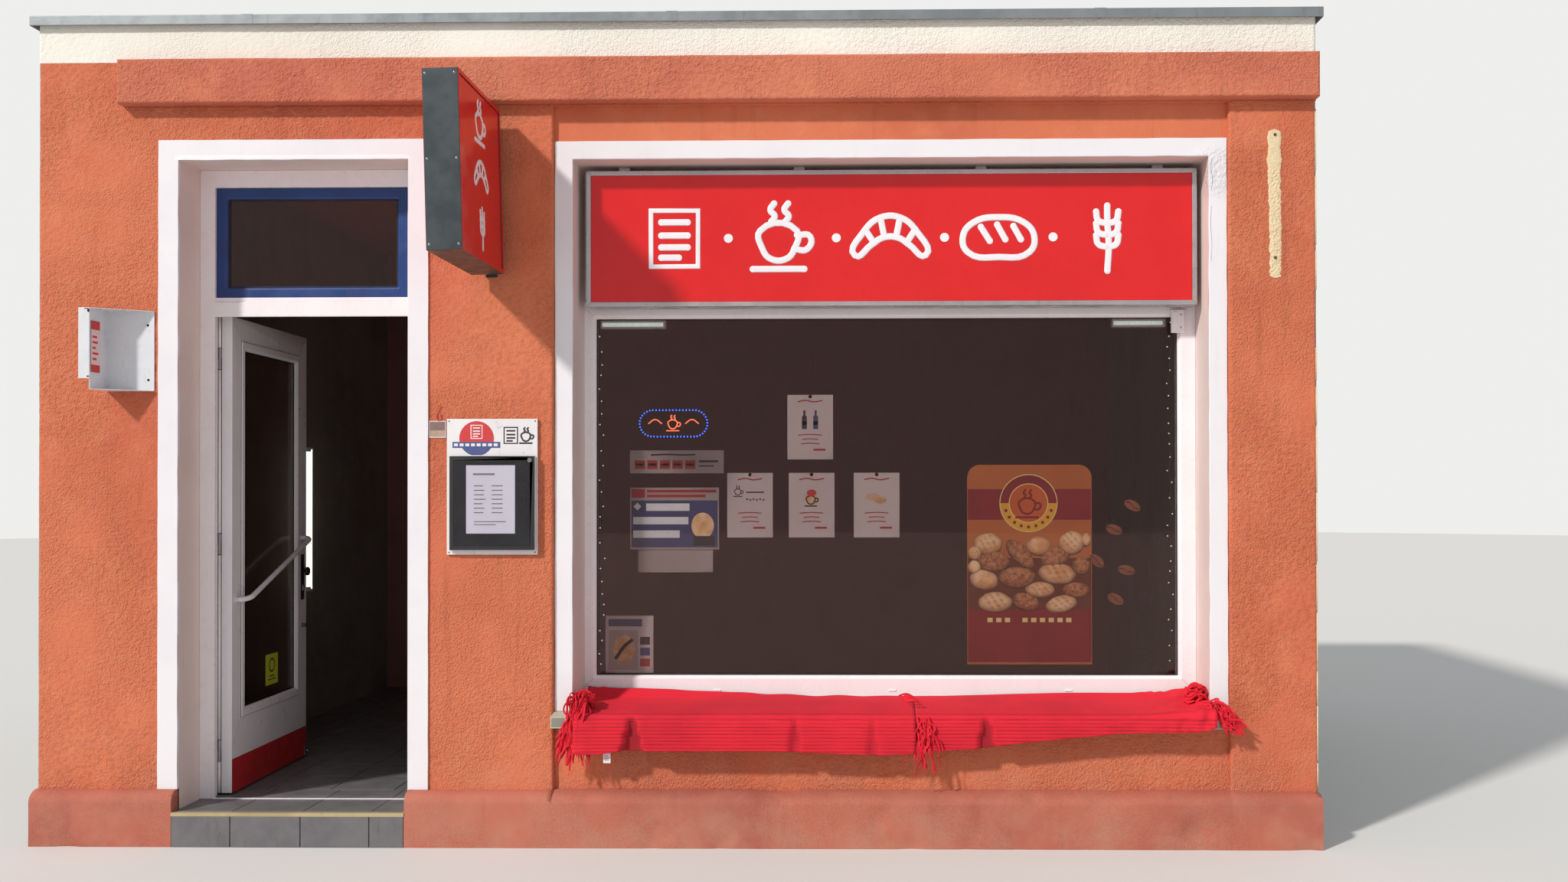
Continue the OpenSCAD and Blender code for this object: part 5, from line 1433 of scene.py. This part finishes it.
for k, (right, down, wide, high, lean, seeded) in enumerate(rolls):
    x, z = displayLow.x + right, displayHigh.z - down
    size = Vector((wide, 0.0032 + 0.00012 * k, high))
    turn = Matrix.Translation((x, faceY - 0.0006, z)) @ Matrix.Rotation(lean, 4, "Y") @ Matrix.Diagonal((*size, 1))
    roll = bmesh.ops.create_uvsphere(bm, u_segments=32, v_segments=20, radius=1)["verts"]
    seed = Vector((k * 7, k * 3, 1))
    scored = not seeded and k % 3 > 0
    for v in roll:
        # painted shade mask: high towards the roll's rim and underside, and along the cuts of scored rolls
        v[hollow] = min(1.0, max(0.0, 0.85 * (v.co.x ** 2 + v.co.z ** 2) ** 1.5 - 0.35 * v.co.z - 0.10))
        v.co *= 1 + 0.07 * noise.noise(v.co * 2.2 + seed)
        slash = min(abs(v.co.x * 1.2 + v.co.z * 0.5 - c) for c in (-0.45, 0.05, 0.55))
        v[hollow] = max(v[hollow], 0.6 * max(0.0, 1 - slash / 0.10) if scored else 0)
        v.co.y *= 1 - (0.42 * max(0.0, 1 - slash / 0.13) if scored else 0.3 * max(0.0, noise.noise(v.co * 6 + seed)))
    bmesh.ops.transform(bm, matrix=turn, verts=roll)
    paintFaces(roll, seeded, True)
finishPiece(bm, "DisplayRolls", (crustMat, grainCrustMat))

bm = bmesh.new()
for x, z, turn in ((2.068, 1.478, 0.5), (1.983, 1.368, 0.3), (1.905, 1.224, 0.7), (2.040, 1.182, 0.2),
                   (1.99, 1.05, 0.5)):
    way = Matrix.Translation((x, backY + 0.0004, z)) @ Matrix.Rotation(turn, 4, "Y")
    bmesh.ops.create_uvsphere(bm, u_segments=20, v_segments=12, radius=1,
                              matrix=way @ Matrix.Diagonal((0.040, 0.0010, 0.023, 1)))
    slitLine = ((-0.034, 0.002), (-0.012, 0.005), (0.012, -0.004), (0.034, -0.001))
    slit = [way @ Vector((dx, 0, dz)) for dx, dz in slitLine]
    addStroke(bm, [(p.x, p.z) for p in slit], 0.004, backY - 0.0004, 0.0006, 1)
finishPiece(bm, "BeanDecals", (beanMat, inkDarkMat))

# Oval ring sign with its dots and a small cup in the middle
ringLow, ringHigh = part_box("ring_sign")
bm = bmesh.new()
ringMid = (ringLow + ringHigh) / 2
halfRun, reach = (ringHigh.x - ringLow.x) / 2, (ringHigh.z - ringLow.z) / 2
straight = halfRun - reach
length = 4 * straight + 2 * math.pi * reach
dotCount = 52
for k in range(dotCount):
    run = length * k / dotCount
    r = reach - 0.006
    if run < 2 * straight:
        x, z = -straight + run, r
    elif run < 2 * straight + math.pi * reach:
        a = (run - 2 * straight) / reach
        x, z = straight + r * math.sin(a), r * math.cos(a)
    elif run < 4 * straight + math.pi * reach:
        x, z = straight - (run - 2 * straight - math.pi * reach), -r
    else:
        a = (run - 4 * straight - math.pi * reach) / reach
        x, z = -straight - r * math.sin(a), -r * math.cos(a)
    addDisc(bm, ringMid.x + x, ringMid.z + z, 0.0042, ringLow.y, 0.002, 0, 10)
addPictogram(bm, "cup", ringMid.x, ringMid.z, 0.080, 0.0055, ringLow.y + 0.003, 0.002, 1)
for side in (-1, 1):
    addStroke(bm, [(ringMid.x + side * 0.055, ringMid.z), (ringMid.x + side * 0.085, ringMid.z + 0.018),
                   (ringMid.x + side * 0.115, ringMid.z)], 0.0055, ringLow.y + 0.003, 0.002, 1)
finishPiece(bm, "RingLights", (ringBlueMat, ringWarmMat))
smoothCopy("ring_sign", "RingTube", caseMat, 0.002, groundBody)

# lamps at the head, and the strings of tiny lights at the sides of the glass
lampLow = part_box("window_lamps")[0]
dress("window_lamps", whiteMat, 0.004)
bm = bmesh.new()
for x0, x1 in ((-0.366, -0.086), (1.985, 2.207)):
    addPeg(bm, (x0, lampLow.y - 0.001, lampLow.z + 0.018), (x1, lampLow.y - 0.001, lampLow.z + 0.018), 0.009, 20, 0)
finishPiece(bm, "LampTubes", (lampMat,))

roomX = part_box("party_wall_left")[1].x
bm = bmesh.new()
addBlock(bm, (roomX - 0.001, 0.150, 0.930), (roomX + 0.030, 0.230, 1.830), 1, 0.004, 2)
addPeg(bm, (roomX + 0.052, 0.190, 0.962), (roomX + 0.052, 0.190, 1.800), 0.028, 24, 0)
for z in (0.948, 1.786):
    addBlock(bm, (roomX + 0.024, 0.162, z), (roomX + 0.078, 0.218, z + 0.026), 1, 0.003, 2)
finishPiece(bm, "RoomLamp", (roomLampMat, whiteMat))

bm = bmesh.new()
chance = random.Random(9)
for x in (glassX[0] + 0.020, glassX[1] - 0.028):
    z, points = glassZ[1] - 0.02, []
    while z > glassZ[0] + 0.03:
        points.append((x + chance.uniform(-0.008, 0.008), z))
        z -= chance.uniform(0.045, 0.075)
    addStroke(bm, points, 0.0022, backY + 0.004, 0.0011, 0)
    for px, pz in points:
        bulbTurn = Matrix.Translation((px + chance.choice((-0.006, 0.006)), backY + 0.004, pz))
        bulb = bmesh.ops.create_uvsphere(bm, u_segments=8, v_segments=6, radius=0.0034, matrix=bulbTurn)["verts"]
        paintFaces(bulb, 1, True)
finishPiece(bm, "LightStrings", (gasketMat, beadMat))
print("window contents made")


# The knitted throws along the sill: ribbed sheets that lie on the stone, fold over its nose and hang

throwSet = {
    "back": -1.757, "nose": -2.0602, "noseZ": 0.5703, "backZ": 0.6062, "under": 0.0008, "thick": 0.0052,
    "turnUp": 0.045, "rib": 0.0150, "ribRise": 0.0024, "cell": 0.014,
}
slope = Vector((throwSet["nose"] - throwSet["back"], throwSet["noseZ"] - throwSet["backZ"]))


def throwPoint(x, along, lift):
    # a point of the sheet from its distance across the throw; lift is the height over the stone
    run = slope.length
    up = Vector((slope.y, -slope.x)).normalized()
    if up.y < 0:
        up.negate()
    turn = min(1.0, max(0.0, (along - run) / 0.024 + 0.5))
    turn = turn * turn * (3 - 2 * turn)
    facing = (up * (1 - turn) + Vector((-1, 0)) * turn).normalized()
    if along < run:
        y, z = throwSet["back"] + slope.x * along / run, throwSet["backZ"] + slope.y * along / run
    else:
        y, z = throwSet["nose"], throwSet["noseZ"] - (along - run)
    return Vector((x, y + facing.x * lift, z + facing.y * lift))


def pleatShare(x, hang, start, end):
    # 1 inside a tent-shaped pleat that opens downwards, 0 beside it
    spread = (end - start) * 0.5 * (0.15 + 0.85 * min(1, hang / 0.15))
    return (1 - min(1, max(0, (abs(x - (start + end) / 2) - spread) / 0.008))) * min(1, hang / 0.02)


def throwLift(x, along, look):
    # how far the cloth stands off: slack waves on the drop, bunched ends, and pleats
    run = slope.length
    hang = max(0.0, along - run)
    slack = 0.004 + 0.010 * (0.5 + 0.5 * noise.noise(Vector((x * 5.5, look["seed"], 0)))) * min(1, hang / 0.08)
    lying = 0.0035 * (0.5 + 0.5 * noise.noise(Vector((x * 3.5, along * 9, look["seed"] + 5))))
    lift = lying if hang == 0 else slack
    for start, end, deep in look["pleats"]:
        if hang > 0:
            lift += deep * (pleatShare(x, hang, start, end) - 0.5 * min(1, hang / 0.03))
    for end, reach, high in look["bunches"]:
        near = max(0.0, 1 - abs(x - end) / reach)
        crease = 0.5 + 0.5 * math.sin((along * 46 + 7 * noise.noise(Vector((x * 14, along * 10, look["seed"])))))
        lift += high * near * near * (0.35 + 0.65 * crease)
    return max(0.0, lift)


def makeThrow(name, x0, x1, look):
    drop = look["drop"]
    total = slope.length + max(d for _, d in drop)
    nu, nv = round((x1 - x0) / throwSet["cell"]), round(total / throwSet["rib"]) * 4
    bm = bmesh.new()
    hollow = bm.verts.layers.float.new("hollow")

    def dropAt(x):
        for (xa, da), (xb, db) in zip(drop, drop[1:]):
            if x <= xb:
                return da + (db - da) * max(0.0, (x - xa)) / (xb - xa)
        return drop[-1][1]

    shells = []
    for side in (1, 0):
        made = bmesh.ops.create_grid(bm, x_segments=nu, y_segments=nv, size=0.5)["verts"]
        for v in made:
            x = x0 + (v.co.x + 0.5) * (x1 - x0)
            long = slope.length + dropAt(x) + 0.0022 * noise.noise(Vector((x * 18, look["seed"], 3)))
            along = (v.co.y + 0.5) * long
            edge = 0.006 * noise.noise(Vector((along * 14, look["seed"], 9))) * (1 if x in (x0, x1) else 0.4)
            # groove: 1 in the rib grooves, in the crease at the nose and in the pleats; it sinks the ribs
            groove = max(0.0, math.cos(2 * math.pi * along / throwSet["rib"])) ** 2
            groove *= 0.10 + 0.90 * min(1.0, max(0.0, (along - slope.length + 0.02) / 0.03))
            groove *= 0.75 + 0.5 * noise.noise(Vector((x * 9, along * 60, look["seed"])))
            groove = max(groove, 0.9 * max(0.0, 1 - abs(along - slope.length + 0.011) / 0.004))
            for start, end, deep in look["pleats"]:
                if along > slope.length:
                    groove = max(groove, min(0.85, abs(deep) * 32) * pleatShare(x, along - slope.length, start, end))
            lift = throwSet["under"] + throwLift(x, along, look)
            if side:
                lift += throwSet["thick"] + throwSet["ribRise"] * (1 - groove)
                # on the top side the groove becomes the mask of painted shade in the grooves, the crease and the pleats
                v[hollow] = groove
            v.co = throwPoint(x + edge, along, lift)
            if along < throwSet["turnUp"]:
                rise, start, run, ripple = look["rear"]
                rise *= min(1.0, max(0.0, (x - start) / run))
                v.co.z += (rise + ripple * noise.noise(Vector((x * 9, 1, 2)))) * (1 - along / throwSet["turnUp"])
        shells.append(made)
    rims = [[e for e in {e for v in made for e in v.link_edges} if e.is_boundary] for made in shells]
    bmesh.ops.bridge_loops(bm, edges=rims[0] + rims[1])
    cloth = finishPiece(faceOut(bm), name, (knitMat,), ("sill_throw",) if look["first"] else ())
    for face in cloth.data.polygons:
        face.use_smooth = True
    return cloth


def addStrand(bm, points, radius, chance):
    # a flattened, twisted strip of yarn
    data = bpy.data.curves.new("strand", "CURVE")
    data.dimensions, data.bevel_resolution, data.resolution_u = "3D", 1, 5
    data.bevel_depth, data.extrude = radius * 0.45, radius * 0.75
    data.use_fill_caps = True
    spline = data.splines.new("BEZIER")
    spline.bezier_points.add(len(points) - 1)
    tilt = chance.uniform(-1.6, 1.6)
    for k, (spot, point) in enumerate(zip(spline.bezier_points, points)):
        spot.co = point
        spot.handle_left_type = spot.handle_right_type = "AUTO"
        tilt += chance.uniform(-0.9, 0.9)
        spot.tilt, spot.radius = tilt, chance.uniform(0.8, 1.15) if 0 < k < len(points) - 1 else 0.7
    joinCurve(bm, data, 0, Matrix())


def hangingStrand(bm, start, out, foot, radius, chance, wall=-2.001):
    # a twisted yarn that comes out of the cloth, bends over and hangs to its foot
    start, out, foot = Vector(start), Vector(out), Vector(foot)
    points = [start, start + out]
    steps = 5
    for k in range(1, steps + 1):
        share = k / steps
        spot = (start + out).lerp(foot, share)
        sway = 0.017 * math.sin(math.pi * min(share * 1.2, 0.9))
        spot += Vector((chance.uniform(-sway, sway), -abs(chance.uniform(0, sway)), 0))
        points.append(spot)
    for spot in points:
        spot.y = min(spot.y, wall - radius) if spot.z < 0.56 else spot.y
    addStrand(bm, points, radius, chance)


def about(middle, *spread):
    # a point near the middle, a little off along each axis
    return Vector([m + chance.uniform(*s) for m, s in zip(middle, spread)])


def addKnot(bm, count, middle, spread, size, radii):
    # a bunch of looped yarns
    wide, deep, tall = size
    for k in range(count):
        a, mid = 2 * math.pi * k / count, about(middle, *spread)
        loop = [mid + Vector((wide * math.cos(a + t), deep * math.sin(a + t), tall * math.sin(a * 2 + t * 1.3)))
                for t in (0, 1.2, 2.4, 3.6, 4.7)]
        addStrand(bm, loop, chance.uniform(*radii), chance)


throwLeft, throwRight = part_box("sill_throw")
# drop and pleats by their place along the sill; rear: how far the rear edge rises, from where, over what run, ripple
leftLook = {"seed": 2.0, "first": True, "rear": (0.034, 0.62, -0.8, 0.004), "bunches": [(-0.43, 0.16, 0.030)],
            "drop": [(-0.42, 0.150), (-0.33, 0.158), (-0.20, 0.144), (0.35, 0.140), (0.92, 0.158), (1.06, 0.150)],
            "pleats": [(-0.206, -0.120, -0.028), (0.52, 0.56, -0.014), (0.86, 0.89, -0.010)]}
rightLook = {"seed": 21.0, "first": False, "rear": (0.014, 1.2, 0.5, 0.0), "bunches": [(2.36, 0.42, 0.042)],
             "drop": [(1.05, 0.146), (1.34, 0.132), (1.50, 0.108), (1.94, 0.066), (2.28, 0.058), (2.35, 0.036)],
             "pleats": [(1.33, 1.40, -0.024)]}
throwA = makeThrow("ThrowLeft", throwLeft.x + 0.004, 1.058, leftLook)
throwB = makeThrow("ThrowRight", 1.061, throwRight.x - 0.002, rightLook)

chance = random.Random(21)
knot = bmesh.new()
# left end: a gathered corner with a knotted bunch, and fringes that fall over the sill's ear
addKnot(knot, 26, (-0.385, -1.985, 0.622), ((-0.02, 0.02), (-0.035, 0.025), (-0.01, 0.03)), (0.030, 0.024, 0.022),
        (0.0042, 0.0066))
for k in range(64):
    start = about((-0.40, -2.02, 0.610), (-0.03, 0.035), (-0.02, 0.03), (-0.015, 0.045))
    out = about((0, 0, 0), (-0.03, 0.012), (-0.05, -0.03), (-0.004, 0.022))
    foot = (-0.40 + chance.uniform(-0.095, 0.058), -2.083 + chance.uniform(-0.014, 0.006),
            chance.choice((0.47, 0.44, 0.42, 0.39, 0.365)) + chance.uniform(-0.03, 0.05))
    hangingStrand(knot, start, out, foot, chance.uniform(0.0030, 0.0052), chance)
for k in range(7):
    start = Vector((-0.43 + chance.uniform(-0.01, 0.01), -1.80 - 0.03 * k, 0.612))
    bends = ((0, 0, 0), (-0.006, -0.004, 0.022), (0.006, -0.012, 0.030), (0.004, -0.03, 0.012))
    addStrand(knot, [start + Vector(bend) for bend in bends], 0.0055, chance)
fringeA = finishPiece(knot, "FringeLeft", (knitMat,))

knot = bmesh.new()
for k in range(22):
    start = (1.075 + chance.uniform(-0.004, 0.05), -2.072, 0.548 + chance.uniform(-0.02, 0.02))
    foot = (1.03 + 0.007 * k + chance.uniform(-0.03, 0.03), -2.094 + chance.uniform(-0.006, 0.008),
            chance.choice((0.44, 0.40, 0.36, 0.33)) + chance.uniform(-0.02, 0.03))
    hangingStrand(knot, start, (chance.uniform(-0.012, 0.006), -0.014, 0.004), foot, chance.uniform(0.0030, 0.0048),
                  chance)
for k in range(5):
    start = Vector((1.06 + 0.006 * k, -1.80 - 0.045 * k, 0.618))
    addStrand(knot, [start, start + Vector((-0.03, -0.006, 0.014)), start + Vector((-0.065, 0.004, 0.004))], 0.0052,
              chance)
# right end: a knot standing on the sill, and a second bunch that falls over the ear
addKnot(knot, 30, (2.300, -1.91, 0.636), ((-0.022, 0.022), (-0.03, 0.03), (-0.015, 0.035)), (0.034, 0.026, 0.024),
        (0.0048, 0.0074))
for k in range(40):
    start = about((2.338, -2.02, 0.604), (-0.03, 0.03), (-0.03, 0.03), (-0.03, 0.03))
    out = about((0, 0, 0), (0.01, 0.04), (-0.05, -0.02), (-0.004, 0.014))
    foot = about((2.43, -2.080, 0.515), (-0.05, 0.05), (-0.012, 0.008), (-0.02, 0.05))
    hangingStrand(knot, start, out, foot, chance.uniform(0.0032, 0.0054), chance)
fringeB = finishPiece(knot, "FringeRight", (knitMat,))

bm = bmesh.new()
addBlock(bm, (-0.290, -2.0775, 0.372), (-0.258, -2.0765, 0.418), 0, 0.0003, 1)
for z, right in ((0.384, -0.266), (0.392, -0.264), (0.400, -0.270)):
    addBlock(bm, (-0.284, -2.0780, z), (right, -2.0774, z + 0.003), 1)
careTag = finishPiece(bm, "CareTag", (paperMat, inkGreyMat))
print("throws made")


# Marks of use on the render: the filled chase with its screw holes, corner bead, cracks and bumps

bm = bmesh.new()
patchX, patchZ = (2.603, 2.657), (2.471, 3.119)
made = standGrid(bm, patchX, patchZ, frontY, (14, 150))
for v in made:
    share = (v.co.x - sum(patchX) / 2) / 0.027
    z = v.co.z
    lane = math.copysign(4, share)
    ragged = 0.006 * noise.noise(Vector((z * 34, 1, lane))) + 0.004 * noise.noise(Vector((z * 90, 1, lane)))
    swell = 0.010 * max(0.0, 1 - abs(z - 2.985) / 0.02) + 0.004 * max(0.0, 1 - abs(z - 3.09) / 0.04)
    v.co.x += share * (ragged + swell) - 0.002 * math.sin(z * 9)
    if abs(z - patchZ[1]) < 0.03 or abs(z - patchZ[0]) < 0.03:
        v.co.z += 0.010 * noise.noise(Vector((v.co.x * 60, 3, 1))) - 0.012 * share * share * (1 if z > 3 else -1)
    rough = 0.0035 * noise.noise(Vector((v.co.x * 110, 5, z * 110))) * (1.25 if z < 2.95 else 0.4)
    v.co.y -= 0.0012 + max(-0.002, rough) * (1 - abs(share) ** 3) - 0.0035 * abs(share) ** 4
rear = bmesh.ops.extrude_face_region(bm, geom=list({f for v in made for f in v.link_faces}))["geom"]
for v in (g for g in rear if isinstance(g, bmesh.types.BMVert)):
    v.co.y = frontY + 0.012
for z in (3.096, 2.560):
    addDisc(bm, 2.630, z, 0.0058, frontY - 0.0022, 0.003, 1, 14)
    addPeg(bm, (2.630, frontY - 0.0058, z), (2.630, frontY - 0.003, z), 0.0022, 10, 2)
finishPiece(faceOut(bm), "ChaseFiller", (fillerMat, holeShadeAndChipMat, steelMat))

bm = bmesh.new()
chance = random.Random(31)
z = 0.26
while z < 3.20:
    run = chance.uniform(0.10, 0.30)
    if chance.random() < 0.86:
        addPeg(bm, (rightX - 0.0026, frontY + 0.0046, z), (rightX - 0.0026, frontY + 0.0046, min(z + run, 3.225)),
               0.0030, 8, 0)
    z += run + chance.uniform(0.0, 0.03)
finishPiece(bm, "CornerBead", (fillerMat,))

# hairline cracks down the plaster band's right side, drawn as thin strokes of painted shade
bm = bmesh.new()
bandY = bayY - 0.0074
for start, run in (((2.360, 2.86), ((0.004, 0.05), (-0.002, 0.10), (0.003, 0.14))),
                   ((2.358, 2.55), ((0.003, 0.08), (-0.002, 0.16), (0.002, 0.24)))):
    points = [start] + [(start[0] + dx, start[1] + dz) for dx, dz in run]
    addStroke(bm, points, 0.0012, bandY, 0.0005, 0)
finishPiece(bm, "HairCracks", (shadowLineMat,))
print("marks of use made")
